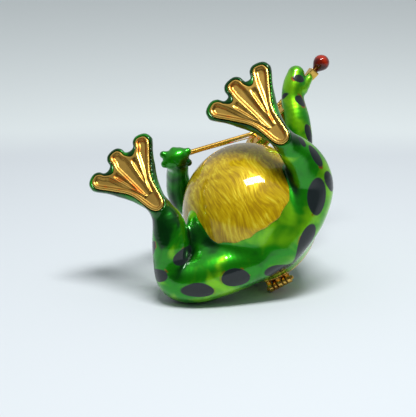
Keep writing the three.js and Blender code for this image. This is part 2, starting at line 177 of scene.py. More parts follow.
# Dark spots: two ends of a short stroke, in millimetres, and a radius.
OVAL = 1.1
SPOTS = (
    # left leg, knee to calf
    ((21.9, 12.0, 12.1), (19.6, 16.0, 14.2), 2.7),
    ((26.2, 10.2, 13.7), (26.8, 12.5, 16.5), 1.9),
    ((24.6, -1.0, 4.3), (24.6, 0.6, 4.6), 1.0),
    ((26.0, 2.6, 7.1), (26.2, 5.8, 9.0), 1.3),
    ((25.0, 12.0, 22.0), (23.0, 16.0, 23.0), 2.2),
    # the body behind the left thigh
    ((14.4, 21.6, 16.6), (8.4, 25.0, 19.9), 2.4),
    # right thigh and knee
    ((-1.0, 26.0, 18.2), (3.4, 25.4, 22.2), 2.3),
    ((-11.9, 24.6, 12.6), (-9.4, 25.2, 13.8), 2.6),
    ((-24.0, 22.8, 10.8), (-20.2, 24.7, 12.0), 2.2),
    ((-22.2, 13.6, 7.8), (-20.6, 11.6, 9.4), 2.3),
    ((-29.6, 15.6, 8.4), (-30.2, 14.0, 10.6), 2.0),
    ((-27.3, 7.0, 5.4), (-28.0, 8.2, 7.4), 1.3),
    ((-24.3, 1.2, 3.2), (-24.6, 2.4, 4.6), 1.2),
    ((-31.0, 18.0, 18.0), (-28.0, 22.0, 19.0), 2.4),
    ((-20.0, 22.0, 22.5), (-16.0, 24.5, 21.5), 2.2),
    # left arm
    ((30.6, -31.6, 28.6), (31.8, -31.0, 29.6), 1.3),
    ((28.4, -25.4, 30.0), (29.4, -24.0, 31.0), 1.5),
    ((26.6, -15.6, 33.0), (26.2, -12.6, 35.0), 1.4),
    ((24.6, -28.6, 30.4), (26.6, -28.2, 29.6), 0.8),
    ((20.4, -17.6, 38.0), (21.6, -14.4, 39.8), 1.5),
    # right arm
    ((-21.6, -14.0, 30.0), (-21.6, -13.6, 33.0), 1.5),
    ((-17.4, -21.0, 24.0), (-16.4, -21.4, 26.4), 1.2),
    # back of the lid and head
    ((0.0, 17.5, 40.8), (4.0, 16.5, 41.6), 2.6),
    ((-12.0, 14.0, 37.6), (-13.0, 10.0, 39.6), 2.3),
    ((13.6, 13.4, 37.6), (15.6, 9.0, 38.0), 2.4),
    ((-6.0, 6.6, 44.2), (-3.0, 5.6, 45.2), 2.0),
    ((-3.6, -6.0, 58.0), (-1.6, -4.0, 58.0), 1.7),
    ((4.0, -11.6, 57.4), (5.4, -13.0, 56.4), 1.3),
    ((-12.4, -12.0, 52.0), (-12.6, -9.0, 53.0), 1.5),
    ((12.6, -7.6, 48.0), (13.6, -4.6, 48.4), 1.6),
)


# ---------------------------------------------------------------- placing


def lying_matrix():
    """Takes a point of the standing frog, in millimetres, into the frame, in metres."""
    rx, ry, rz = (math.radians(a) for a in LYING_TURNS)
    turn = (
        Matrix.Rotation(rx, 3, "X")
        @ Matrix.Rotation(ry, 3, "Y")
        @ Matrix.Rotation(rz, 3, "Z")
    )
    hinge = next(j for j in frame["joints"] if j["name"] == "lid_hinge")
    origin = Vector(hinge["pos_m"]) - turn @ (Vector(HINGE_POINT) * MM)
    return Matrix.Translation(origin) @ (turn * MM).to_4x4()


LAY = np.array(lying_matrix())


def to_frame(points):
    return np.asarray(points, float) @ LAY[:3, :3].T + LAY[:3, 3]


def make_piece(name, points, faces, material, body, slot, nodes, **attributes):
    """A smooth mesh object that rides on a body in place of its plain nodes."""
    mesh = bpy.data.meshes.new(name)
    mesh.from_pydata(to_frame(points).tolist(), [], faces.tolist())
    for key, values in attributes.items():
        layer = mesh.attributes.new(key, "FLOAT", "POINT")
        layer.data.foreach_set("value", np.asarray(values, np.float32))
    mesh.materials.append(material)
    mesh.polygons.foreach_set("use_smooth", np.ones(len(mesh.polygons), bool))
    mesh.update()
    piece = bpy.data.objects.new(name, mesh)
    bpy.context.scene.collection.objects.link(piece)
    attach(piece, body)
    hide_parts(*nodes)
    return piece


# ---------------------------------------------------------------- distance shapes


def smooth_min(a, b, blend):
    share = np.maximum(blend - np.abs(a - b), 0.0) / blend
    return np.minimum(a, b) - share * share * blend / 4.0


def smooth_max(a, b, blend):
    return -smooth_min(-a, -b, blend)


def ramp(value, low, high):
    t = np.clip((value - low) / (high - low), 0.0, 1.0)
    return t * t * (3.0 - 2.0 * t)


def ellipsoid(p, centre, radii):
    q = p - np.asarray(centre, np.float32)
    radii = np.asarray(radii, np.float32)
    scaled = np.linalg.norm(q / radii, axis=-1)
    slope = np.linalg.norm(q / radii**2, axis=-1)
    return scaled * (scaled - 1.0) / np.maximum(slope, 1e-6)


def ball(p, centre, radius):
    return np.linalg.norm(p - np.asarray(centre, np.float32), axis=-1) - radius


def body_shape(p, offset=0.0):
    return ellipsoid(p, BODY_CENTRE, [r + offset for r in BODY_RADII])


def curve_points(stations, count, closed=False):
    """Even points of a smooth curve through the stations."""
    s = np.asarray(stations, float)
    if closed:
        s = np.vstack([s[-1], s, s[0], s[1]])
    else:
        s = np.vstack([2 * s[0] - s[1], s, 2 * s[-1] - s[-2]])
    spans = len(s) - 3
    t = np.linspace(0, spans, count, endpoint=not closed)
    k = np.minimum(t.astype(int), spans - 1)
    u = (t - k)[:, None]
    a, b, c, d = s[k], s[k + 1], s[k + 2], s[k + 3]
    bend = (2 * a - 5 * b + 4 * c - d) * u**2 + (3 * b - a - 3 * c + d) * u**3
    return 0.5 * (2 * b + (c - a) * u + bend)


def rod_shape(p, a, b, radius_a, radius_b):
    a, b = np.asarray(a, np.float32), np.asarray(b, np.float32)
    along = b - a
    q = p - a
    t = np.clip((q @ along) / np.dot(along, along), 0.0, 1.0)
    radius = radius_a + (radius_b - radius_a) * t
    return np.linalg.norm(q - t[..., None] * along, axis=-1) - radius


def near_only(p, low, high, shape, reach=7.0):
    """The shape where it is near its box, and the distance to the box elsewhere."""
    low, high = np.asarray(low, np.float32), np.asarray(high, np.float32)
    gap = np.linalg.norm(np.maximum(np.maximum(low - p, p - high), 0.0), axis=-1)
    near = gap < reach
    if near.any():
        gap[near] = shape(p[near])
    return gap


def limb_shape(p, stations, count=None):
    """A limb: a chain of short cones along a curve."""
    points = curve_points(stations, count or 5 * len(stations))

    def chain(q):
        distance = None
        for a, b in zip(points[:-1], points[1:]):
            d = rod_shape(q, a[:3], b[:3], a[3], b[3])
            distance = d if distance is None else np.minimum(distance, d)
        return distance

    centres, widths = points[:, :3], points[:, 3:]
    low, high = (centres - widths).min(axis=0), (centres + widths).max(axis=0)
    return near_only(p, low, high, chain)


def outline_distance(p, outline):
    """Signed distance in the plane to a closed outline, negative inside."""
    x, y = p[..., 0], p[..., 1]
    best = np.full(x.shape, 1e9, np.float32)
    inside = np.zeros(x.shape, bool)
    previous = np.roll(outline, 1, axis=0)
    for (ax, ay), (bx, by) in zip(outline, previous):
        ex, ey = bx - ax, by - ay
        wx, wy = x - ax, y - ay
        t = np.clip((wx * ex + wy * ey) / (ex * ex + ey * ey), 0.0, 1.0)
        best = np.minimum(best, (wx - t * ex) ** 2 + (wy - t * ey) ** 2)
        crosses = (ay > y) != (by > y)
        inside ^= crosses & (wx * ey < wy * ex if ey > 0 else wx * ey > wy * ex)
    return np.where(inside, -1.0, 1.0) * np.sqrt(best)


def rounded_plate(flat, height, middle, half, radius):
    """A plate with soft edges from its distance in the plane and its height."""
    side = flat + radius
    rise = np.abs(height - middle) - (half - radius)
    outside = np.hypot(np.maximum(side, 0.0), np.maximum(rise, 0.0))
    return outside + np.minimum(np.maximum(side, rise), 0.0) - radius


def skin(shape, low, high, step):
    """Mesh of the surface where the shape is zero, one vertex for each cell that it crosses."""
    coarse = 4
    low = np.asarray(low, np.float32)
    blocks = np.ceil((np.asarray(high) - low) / (coarse * step)).astype(int) + 1
    rough_axes = [low[i] + np.arange(blocks[i] + 1) * coarse * step for i in range(3)]
    rough = np.stack(np.meshgrid(*rough_axes, indexing="ij"), axis=-1).astype(np.float32)
    rough_value = shape(rough.reshape(-1, 3)).reshape(rough.shape[:3])
    counts = blocks * coarse
    axes = [low[i] + np.arange(counts[i]) * step for i in range(3)]
    nearest = [(np.arange(n) + coarse // 2) // coarse for n in counts]
    value = rough_value[np.ix_(*nearest)].astype(np.float32)
    band = np.argwhere(np.abs(value) < 6.5 * step)
    spots = np.stack([axes[i][band[:, i]] for i in range(3)], axis=1).astype(np.float32)
    value[tuple(band.T)] = shape(spots)

    grid = np.stack(np.meshgrid(*axes, indexing="ij"), axis=-1).astype(np.float32)
    cells = tuple(n - 1 for n in value.shape)
    total = np.zeros((*cells, 3), np.float32)
    count = np.zeros(cells, np.int32)
    crossings = []
    for axis in range(3):
        lower, upper = [slice(None)] * 3, [slice(None)] * 3
        lower[axis], upper[axis] = slice(0, -1), slice(1, None)
        a, b = value[tuple(lower)], value[tuple(upper)]
        crossed = (a < 0) != (b < 0)
        point = grid[tuple(lower)] * crossed[..., None]
        point[..., axis] += np.where(crossed, a / np.where(crossed, a - b, 1.0), 0.0) * step
        crossings.append((crossed, a < 0))
        first, second = (axis + 1) % 3, (axis + 2) % 3
        for i in (0, 1):
            for j in (0, 1):
                part = [slice(None)] * 3
                part[first] = slice(i, cells[first] + i)
                part[second] = slice(j, cells[second] + j)
                total += point[tuple(part)]
                count += crossed[tuple(part)]
    active = count > 0
    index = np.full(cells, -1, np.int64)
    index[active] = np.arange(int(active.sum()))
    points = total[active] / count[active][:, None]

    faces = []
    for axis, (crossed, inside) in enumerate(crossings):
        first, second = (axis + 1) % 3, (axis + 2) % 3
        where = np.argwhere(crossed)
        keep = np.ones(len(where), bool)
        for other in (first, second):
            keep &= (where[:, other] > 0) & (where[:, other] < cells[other])
        where = where[keep]
        corners = []
        for i, j in ((1, 1), (0, 1), (0, 0), (1, 0)):
            cell = where.copy()
            cell[:, first] -= i
            cell[:, second] -= j
            corners.append(index[tuple(cell.T)])
        quad = np.stack(corners, axis=1)
        flip = ~inside[tuple(where.T)]
        quad[flip] = quad[flip][:, ::-1]
        faces.append(quad)
    return pull_to(shape, points, step), np.vstack(faces)


CORNERS = np.array([(1, -1, -1), (-1, -1, 1), (-1, 1, -1), (1, 1, 1)], np.float32)


def slopes(shape, points, reach):
    """The shape's slope at the points, and its mean a reach away from them."""
    slope = np.zeros_like(points)
    mean = np.zeros(len(points), np.float32)
    for corner in CORNERS:
        value = shape(points + corner * reach)
        slope += corner * value[:, None] / (4 * reach)
        mean += value / 4
    return slope, mean


def pull_to(shape, points, step):
    """Moves the points onto the surface."""
    slope, _ = slopes(shape, points, 0.12)
    size = np.maximum((slope**2).sum(axis=1), 0.3)
    for _ in range(2):
        move = -(shape(points) / size)[:, None] * slope
        points = points + np.clip(move, -0.4 * step, 0.4 * step)
    return points


def crest(shape, points, reach=1.3):
    """From -1 in a hollow to 1 on a sharp ridge, where enamel runs thin."""
    _, mean = slopes(shape, points, reach)
    bend = (mean - shape(points)) / reach**2
    return np.clip(bend * 5.0, -1.0, 1.0)


# ---------------------------------------------------------------- the castings


def polar(radius, angle):
    a = math.radians(angle)
    return (radius * math.sin(a), -radius * math.cos(a))


def foot_outline(side, tip, half, notch, notch_half, heel, flare):
    """The webbed foot: heel at its own point, toes towards -Y, turned with the leg."""
    x, y, turn, size, spread = FEET[side]
    edge = spread + 3.5 + flare
    points = [polar(heel, -100), polar(9, -edge + 1.0), polar(15.5, -edge - 1.0)]
    toe_side = ((1.0, 3.2), (0.86, 1.5), (0.42, 0.25))
    for toe in (-spread, 0.0, spread):
        for share, back in toe_side:
            points.append(polar(tip - back, toe - share * half))
        for share, back in reversed(toe_side):
            points.append(polar(tip - back, toe + share * half))
        if toe < spread:
            web = toe + spread / 2
            points += [polar(notch, web - notch_half), polar(notch, web + notch_half)]
    points += [polar(15.5, edge + 1.0), polar(9, edge - 1.0)]
    points += [polar(heel, 100), polar(heel, 180)]
    a = math.radians(turn)
    rotate = np.array([[math.cos(a), math.sin(a)], [-math.sin(a), math.cos(a)]])
    return size * curve_points(points, 130, closed=True) @ rotate + np.array([x, y])


def lip_outline(side):
    return foot_outline(side, FOOT_LENGTH + 0.9, 8.4, 21.6, 1.6, HEEL_RADIUS + 0.8, 1.6)


def sole_outline(side, grow=0.0):
    return foot_outline(
        side, FOOT_LENGTH - 0.5 + grow, 6.4 + 2.5 * grow, 19.2 + grow, 1.9,
        HEEL_RADIUS + 0.2 + grow, grow * 2,
    )


def toe_bone(side, toe, stations):
    """Stations along one toe, from distance to the heel, height and radius."""
    x, y, turn, size, spread = FEET[side]
    a = math.radians(toe * spread + turn)
    return [
        (x + size * r * math.sin(a), y - size * r * math.cos(a), z, w) for r, z, w in stations
    ]


def foot_shape(p, side):
    """The webbed foot in green round the gilt sole, with a knuckled bone on each toe."""
    lip = lip_outline(side)

    def foot(q):
        web = rounded_plate(outline_distance(q, lip), q[..., UP], 1.75, 1.45, 1.1)
        for toe in (-1, 0, 1):
            bone = toe_bone(side, toe, (
                (0.5, FOOT_TOP - 0.4, 2.3),
                (9.0, FOOT_TOP - 1.5, 1.5),
                (15.0, FOOT_TOP - 1.2, 1.7),
                (19.0, FOOT_TOP - 1.7, 1.5),
                (FOOT_LENGTH - 1.6, FOOT_TOP - 1.8, 2.1),
            ))
            web = smooth_min(web, limb_shape(q, bone, 9), 1.4)
        return web

    return near_only(p, *foot_box(side), foot, 5.0)


def foot_box(side):
    x, y = FEET[side][:2]
    reach = FOOT_LENGTH + 2
    return (x - reach, y - reach, 0.0), (x + reach, y + 4, FOOT_TOP + 2)


def tread_pocket(p, side):
    """The room in a foot for its gilt tread."""
    outline = sole_outline(side, 0.12)

    def pocket(q):
        return np.maximum(outline_distance(q, outline), q[..., UP] - SOLE_THICKNESS)

    return near_only(p, *foot_box(side), pocket, 3.0)


def legs_shape(p):
    right = smooth_min(limb_shape(p, RIGHT_LEG), foot_shape(p, "right"), 1.8)
    right = smooth_min(right, limb_shape(p, FLANK), 2.4)
    left = smooth_min(limb_shape(p, LEFT_LEG), foot_shape(p, "left"), 1.8)
    return smooth_min(right, left, 4.0)


def mouth_seat(p, side):
    """The room inside the wall for a gilt rim: side is -1 below the seam and 1 above."""
    start = side * (RIM_HEIGHT + SEAM_GAP / 2 + 0.3)
    depth = side * (p[..., UP] - SEAM_Z - start)
    return np.maximum(body_shape(p, -RIM_SEAT), depth)


def base_shape(p):
    """The lower casting: the hollow lower half of the body with both legs and feet."""
    solid = smooth_min(body_shape(p), legs_shape(p), 2.4)
    top = SEAM_Z - SEAM_GAP / 2 - EDGE
    solid = smooth_max(solid, p[..., UP] - top, 0.2)
    hollow = np.minimum(body_shape(p, -WALL), mouth_seat(p, -1))
    solid = smooth_max(solid, -hollow, 0.2)
    for side in FEET:
        solid = smooth_max(solid, -tread_pocket(p, side), 0.25)
    return solid


def fist_axes():
    """Across, up and forward for the face of the fist, square to the way it points."""
    forward = np.array([0.13, 0.41, -0.90])
    across = np.array([0.88, 0.37, 0.30])
    forward = forward / np.linalg.norm(forward)
    across = across - across @ forward * forward
    across = across / np.linalg.norm(across)
    return np.stack([across, np.cross(forward, across), forward])


def fist_shape(p):
    """A closed fist whose finger lobes stand round its face."""
    axes = fist_axes()

    def fist(q):
        shape = ellipsoid(q, FIST, FIST_RADII)
        for finger in FINGERS:
            tip = np.array(FIST) + np.array(finger) @ axes
            root = np.array(FIST) + np.array(finger) @ axes * 0.45
            shape = smooth_min(shape, rod_shape(q, root, tip, 1.7, 1.15), 0.5)
        return shape

    return near_only(p, np.subtract(FIST, FIST_REACH), np.add(FIST, FIST_REACH), fist, 4.0)


def arms_shape(p):
    right = smooth_min(limb_shape(p, RIGHT_ARM), fist_shape(p), 1.4)
    left = smooth_min(limb_shape(p, LEFT_ARM), limb_shape(p, THUMB, 4), 1.0)
    return np.minimum(right, left)


def head_shape(p):
    """Broad head with brows, a wide mouth line and nostrils."""

    def head(q):
        skull = ellipsoid(q, HEAD_CENTRE, HEAD_RADII)
        jaw = ellipsoid(q, (0, -9.0, 44.5), (13.0, 11.0, 6.5))
        shape = smooth_min(skull, jaw, 3.0)
        for side in (-1, 1):
            brow = ellipsoid(q, (side * EYE[0], EYE[1] + 0.8, EYE[2] - 2.6), (5.6, 5.6, 4.8))
            shape = smooth_min(shape, brow, 2.4)
        line = 45.6 + 0.014 * q[..., 0] ** 2
        groove = np.hypot(shape, q[..., UP] - line) - 0.5
        groove = np.maximum(groove, q[..., 1] + 4.0)
        shape = smooth_max(shape, -groove, 0.5)
        for side in (-1, 1):
            shape = smooth_max(shape, -ball(q, (side * 2.6, -19.4, 51.0), 0.7), 0.4)
            eye = (side * EYE[0], EYE[1], EYE[2])
            shape = np.maximum(shape, -ball(q, eye, EYE_RADIUS + 0.25))
        return shape

    centre, radii = np.array(HEAD_CENTRE), np.array(HEAD_RADII)
    return near_only(p, centre - radii - 4, centre + radii + 4, head)


def lid_shape(p):
    """The upper casting: the frog's back, head and arms, hollow over the box."""
    low = SEAM_Z + SEAM_GAP / 2 + EDGE
    back = smooth_max(body_shape(p), low - p[..., UP], 0.2)
    upper = smooth_min(smooth_min(back, head_shape(p), 2.0), arms_shape(p), 2.0)
    hollow = np.minimum(body_shape(p, -WALL), mouth_seat(p, 1))
    return smooth_max(upper, -hollow, 0.2)


def rim_shape(p, side):
    """A gilt rim seated in the mouth, with a thin edge that shows outside."""
    away = side * (p[..., UP] - SEAM_Z) - SEAM_GAP / 2
    seated = body_shape(p, -RIM_SEAT - 0.05)
    edge = np.maximum(body_shape(p, 0.04), away - EDGE + 0.04)
    share = math.sqrt(1 - ((SEAM_Z - BODY_CENTRE[2]) / BODY_RADII[2]) ** 2)
    inner = ellipsoid(
        p * np.array([1, 1, 0], np.float32),
        (BODY_CENTRE[0], BODY_CENTRE[1], 0),
        (BODY_RADII[0] * share - RIM_WALL, BODY_RADII[1] * share - RIM_WALL, 50),
    )
    ring = np.maximum(np.minimum(seated, edge), -inner)
    return np.maximum(ring, np.maximum(-away, away - RIM_HEIGHT))


# ---------------------------------------------------------------- fitted parts


def belly_shape(p):
    """A raised skin of yellow enamel below a tilted edge."""
    tilt = math.radians(-BELLY_TILT)
    edge = math.sin(tilt) * (p[..., 1] - BELLY_EDGE[0]) + math.cos(tilt) * (
        p[..., UP] - BELLY_EDGE[1]
    )
    edge = edge + 0.22 * np.sin(p[..., 0] * 0.55 + 0.7) + 0.15 * np.sin(p[..., 0] * 1.3)
    film = np.maximum(body_shape(p, BELLY_RISE), -body_shape(p, -0.6))
    return smooth_max(film, edge, 0.35)


def sole_depth(p, side, flat):
    """How deep the sole is cut: a rim, a trough along each toe, and ridged wedges between."""
    x, y, turn, size, spread = FEET[side]
    wedge = np.full(flat.shape, 9.0, np.float32)
    groove = np.zeros(flat.shape, np.float32)
    for web in (-spread / 2, spread / 2):
        a = math.radians(web + turn)
        dx, dy = (p[..., 0] - x) / size, (p[..., 1] - y) / size
        across = np.abs(dx * math.cos(a) + dy * math.sin(a))
        along = dx * math.sin(a) - dy * math.cos(a)
        half = 2.2 * np.clip((along - 5.6) / 14.0, 0.0, 1.0) ** 0.9 - 0.1
        wedge = np.minimum(wedge, np.maximum(across - half, 5.0 - along))
        inner = 0.6 * np.clip((along - 8.0) / 8.0, 0.0, 1.0) - across
        ends = ramp(along, 8.0, 10.0) * ramp(-along, -18.4, -16.5)
        groove = np.maximum(groove, ramp(inner, -0.45, 0.25) * ends)
    trough = ramp(-flat, 0.5, 1.5) * ramp(wedge, -0.3, 0.9)
    return np.maximum(TROUGH * trough, 0.8 * TROUGH * groove * ramp(-flat, 0.6, 1.2))


def sole_shape(p, side):
    flat = outline_distance(p, sole_outline(side))
    plate = smooth_max(flat, p[..., UP] - SOLE_THICKNESS + 0.1, 0.2)
    return smooth_max(plate, sole_depth(p, side, flat) - p[..., UP], 0.25)


def knuckle_spans():
    start = HINGE_POINT[0] - (sum(KNUCKLES) + SEAM_GAP * (len(KNUCKLES) - 1)) / 2
    spans = []
    for length in KNUCKLES:
        spans.append((start, start + length))
        start += length + SEAM_GAP
    return spans


def slab(value, low, high):
    return np.maximum(low - value, value - high)


def hinge_shape(p, side):
    """One leaf that follows the body, with its share of the knuckles."""
    spans = knuckle_spans()
    leaf = np.maximum(body_shape(p, LEAF_PROUD), -body_shape(p, -0.5))
    away = side * (p[..., UP] - SEAM_Z)
    leaf = smooth_max(leaf, slab(p[..., 0], spans[0][0], spans[-1][1]), 0.25)
    leaf = smooth_max(leaf, slab(away, SEAM_GAP / 2, LEAF_WIDTH), 0.25)
    leaf = np.maximum(leaf, 12.0 - p[..., 1])
    ring = np.hypot(p[..., 1] - HINGE_POINT[1], p[..., UP] - SEAM_Z)
    for i, (start, end) in enumerate(spans):
        extra = (SEAM_GAP - KNUCKLE_GAP) / 2
        across = slab(p[..., 0], start - extra, end + extra)
        barrel = smooth_max(ring - KNUCKLE_RADIUS, across, 0.3)
        web = np.maximum(slab(p[..., 1], 23.6, 25.9), slab(away, 0.15, 1.35))
        web = np.maximum(web, across)
        if (i % 2 == 0) == (side < 0):
            leaf = np.minimum(leaf, np.minimum(web, barrel))
        else:
            room = slab(p[..., 0], start - KNUCKLE_GAP, end + KNUCKLE_GAP)
            clear = np.maximum(ring - KNUCKLE_RADIUS - KNUCKLE_GAP, room)
            leaf = np.maximum(leaf, -clear)
    return np.maximum(leaf, 0.6 - ring)


def pin_shape(p):
    spans = knuckle_spans()
    start = (spans[0][0] - 0.25, HINGE_POINT[1], SEAM_Z)
    end = (spans[-1][1] + 0.25, HINGE_POINT[1], SEAM_Z)
    heads = np.minimum(ball(p, start, 0.68), ball(p, end, 0.68))
    return np.minimum(rod_shape(p, start, end, 0.5, 0.5), heads)


def eye_axis(side):
    axis = np.array([side * 0.12, -0.22, 1.0])
    return (axis / np.linalg.norm(axis)).astype(np.float32)


def eye_shape(p, side):
    return ball(p, (side * EYE[0], EYE[1], EYE[2]), EYE_RADIUS)


def setting_shape(p, side):
    """A beaded gilt ring round the eye."""
    q = p - np.array([side * EYE[0], EYE[1], EYE[2]], np.float32)
    axis = eye_axis(side)
    height = q @ axis - 0.8
    spread = np.linalg.norm(q - (q @ axis)[..., None] * axis, axis=-1)
    across = np.cross(axis, np.array([0, 1, 0], np.float32))
    across = across / np.linalg.norm(across)
    turn = np.arctan2(q @ np.cross(axis, across), q @ across)
    bead = 0.62 + 0.08 * np.cos(turn * 22)
    return np.hypot(spread - EYE_RADIUS + 0.1, height) - bead


# ---------------------------------------------------------------- fiddle and bow


def fiddle_axes():
    along = np.array(FIDDLE_ALONG) / np.linalg.norm(FIDDLE_ALONG)
    face = np.array(FIDDLE_FACE)
    face = face - face @ along * along
    face = face / np.linalg.norm(face)
    return np.stack([along, np.cross(face, along), face])


FIDDLE_AXES = fiddle_axes()


def on_fiddle(along, across, face):
    return np.array(FIDDLE_TAIL) + np.array([along, across, face]) @ FIDDLE_AXES


def from_fiddle(p):
    return (p - np.array(FIDDLE_TAIL, np.float32)) @ FIDDLE_AXES.T.astype(np.float32)


def fiddle_outline():
    half = [
        (0.0, 2.2), (0.6, 4.4), (4.2, 5.9), (8.2, 4.6), (10.4, 3.6),
        (12.6, 4.2), (15.6, 4.9), (18.2, 3.4), (FIDDLE_LENGTH, 1.2),
    ]
    return curve_points(half + [(x, -y) for x, y in reversed(half)], 72, closed=True)


def block(q, low, high, soft=0.25):
    """A softened box between two corners."""
    shape = slab(q[..., 0], low[0], high[0])
    for axis in (1, 2):
        shape = smooth_max(shape, slab(q[..., axis], low[axis], high[axis]), soft)
    return shape


def fiddle_shape(p):
    """Arched plates that overhang the ribs, sound holes, bridge, tailpiece and strings."""
    q = from_fiddle(p)
    flat = outline_distance(q, fiddle_outline())
    top = FIDDLE_THICKNESS / 2
    arch = 0.45 * ramp(-flat, 0.4, 3.2)
    shape = np.maximum(flat + 0.4, np.abs(q[..., 2]) - top + 0.3)
    for side in (-1, 1):
        plate = rounded_plate(flat, side * q[..., 2] - arch, top - 0.35, 0.35, 0.3)
        shape = np.minimum(shape, plate)
    for side in (-1, 1):
        hole = np.minimum(
            rod_shape(q, (6.8, side * 2.5, top + 0.4), (10.4, side * 2.0, top + 0.4), 0.28, 0.28),
            np.minimum(
                ball(q, (6.7, side * 2.9, top + 0.4), 0.45),
                ball(q, (10.5, side * 1.6, top + 0.4), 0.45),
            ),
        )
        shape = smooth_max(shape, -hole, 0.2)
    shape = np.minimum(shape, block(q, (8.4, -1.7, top), (8.9, 1.7, top + 1.3)))
    shape = np.minimum(shape, block(q, (1.0, -1.1, top), (5.0, 1.1, top + 0.8)))
    shape = np.minimum(shape, block(q, (12.0, -1.0, top + 0.2), (19.2, 1.0, top + 0.8)))
    for i in range(4):
        across = (i - 1.5) * 0.6
        a, b = (4.6, across * 0.8, top + 0.75), (8.65, across, top + 1.35)
        shape = np.minimum(shape, rod_shape(q, a, b, 0.14, 0.14))
        shape = np.minimum(shape, rod_shape(q, b, (19.2, across * 0.7, top + 0.95), 0.14, 0.14))
    return shape


def neck_shape(p):
    """Neck with its fingerboard, widening into the peg box."""
    q = from_fiddle(p)
    start, end = FIDDLE_LENGTH + 0.2, FIDDLE_LENGTH + NECK_LENGTH
    shape = rod_shape(q, (start, 0, 0.9), (end - 3, 0, 0.9), 1.05, 0.85)
    shape = np.minimum(shape, block(q, (start, -0.95, 1.4), (end - 3.2, 0.95, 2.3)))
    widen = 0.85 + 0.95 * ramp(q[..., 0], end - 4.0, end)
    box = np.maximum(slab(q[..., 0], end - 4.2, end), np.abs(q[..., 1]) - widen)
    box = smooth_max(box, slab(q[..., 2], -0.9, 1.9), 0.3)
    return smooth_min(shape, box, 0.3)


def bead_shape(p):
    """A pear-shaped bead drawn out towards the peg box."""
    end = FIDDLE_LENGTH + NECK_LENGTH
    low, high = on_fiddle(end + 0.6, 0, 0.4), on_fiddle(end + 3.4, 0, 0.4)
    return smooth_min(rod_shape(p, low, high, 1.0, 2.0), ball(p, high, 2.45), 1.2)


BOW_START = (-12.6, -20.2, 15.6)
BOW_END = on_fiddle(3.2, -3.5, FIDDLE_THICKNESS / 2 + BOW_RADIUS + 1.7)
HAIR_DROP = -FIDDLE_AXES[2] * 1.35
STRAND_SPACING = 0.22
STRAND_RADIUS = 0.16


def bow_shape(p):
    """Bow stick with its head block."""
    shape = rod_shape(p, BOW_START, BOW_END, BOW_RADIUS + 0.1, 0.6)
    end = np.array(BOW_END)
    return smooth_min(shape, rod_shape(p, end, end + HAIR_DROP, 0.7, 0.5), 0.4)


def hair_shape(p):
    """A flat ribbon of hair under the stick."""
    start, end = np.array(BOW_START), np.array(BOW_END)
    a, b = start + (end - start) * 0.2 + HAIR_DROP * 0.45, end + HAIR_DROP
    across = np.cross(end - start, HAIR_DROP)
    across = across / np.linalg.norm(across) * STRAND_SPACING
    strands = [
        rod_shape(p, a + across * k, b + across * k, STRAND_RADIUS, STRAND_RADIUS)
        for k in (-1.5, -0.5, 0.5, 1.5)
    ]
    return np.minimum.reduce(strands)


# ---------------------------------------------------------------- enamel spots


def spot_distance(points):
    """Distance to the edge of the nearest dark oval spot, negative inside."""
    best = np.full(len(points), 9.0, np.float32)
    for a, b, radius in SPOTS:
        start, end = np.array(a), np.array(b)
        half = np.linalg.norm(end - start) / 2
        from_middle = points - (start + end) / 2
        along = from_middle @ (end - start) / (2 * half)
        across = np.sqrt(np.maximum((from_middle**2).sum(axis=1) - along**2, 0.0))
        share = np.hypot(along / (half + radius), across / radius) / OVAL
        best = smooth_min(best, (share - 1.0) * radius, 0.5)
    return best + 0.2 * np.sin(points @ np.array([0.7, 0.5, -0.6]) + 1.0)


# ---------------------------------------------------------------- finishes


def node(tree, kind, inputs=None, **settings):
    """A new shader node; inputs are values or the sockets that feed them."""
    made = tree.nodes.new(kind)
    for key, value in settings.items():
        setattr(made, key, value)
    for key, value in (inputs or {}).items():
        socket = made.inputs[key]
        if isinstance(value, bpy.types.NodeSocket):
            tree.links.new(value, socket)
        elif isinstance(value, tuple) and len(value) == 3 and socket.type == "RGBA":
            socket.default_value = (*value, 1.0)
        else:
            socket.default_value = value
    return made


def maths(tree, operation, *values, clamp=False):
    inputs = dict(enumerate(values))
    return node(tree, "ShaderNodeMath", inputs, operation=operation, use_clamp=clamp).outputs[0]


def blend_colour(tree, share, a, b, mode="MIX"):
    made = node(tree, "ShaderNodeMix", data_type="RGBA", blend_type=mode)
    for index, value in ((0, share), (6, a), (7, b)):
        if isinstance(value, bpy.types.NodeSocket):
            tree.links.new(value, made.inputs[index])
        elif isinstance(value, tuple):
            made.inputs[index].default_value = (*value[:3], 1.0)
        else:
            made.inputs[index].default_value = value
    return made.outputs[2]


def soft_step(tree, value, low, high):
    inputs = {"Value": value, "From Min": low, "From Max": high}
    return node(
        tree, "ShaderNodeMapRange", inputs, interpolation_type="SMOOTHSTEP"
    ).outputs["Result"]


def noise(tree, vector, scale, detail=3.0, distortion=0.0):
    inputs = {"Vector": vector, "Scale": scale, "Detail": detail, "Distortion": distortion}
    return node(tree, "ShaderNodeTexNoise", inputs).outputs["Fac"]


def make_group(name, inputs, outputs):
    """A shader node group with named inputs and outputs."""
    group = bpy.data.node_groups.new(name, "ShaderNodeTree")
    for socket_name, kind, default in inputs:
        socket = group.interface.new_socket(
            name=socket_name, in_out="INPUT", socket_type=f"NodeSocket{kind}"
        )
        socket.default_value = default
    for socket_name, kind in outputs:
        group.interface.new_socket(
            name=socket_name, in_out="OUTPUT", socket_type=f"NodeSocket{kind}"
        )
    return group, node(group, "NodeGroupInput").outputs, node(group, "NodeGroupOutput").inputs


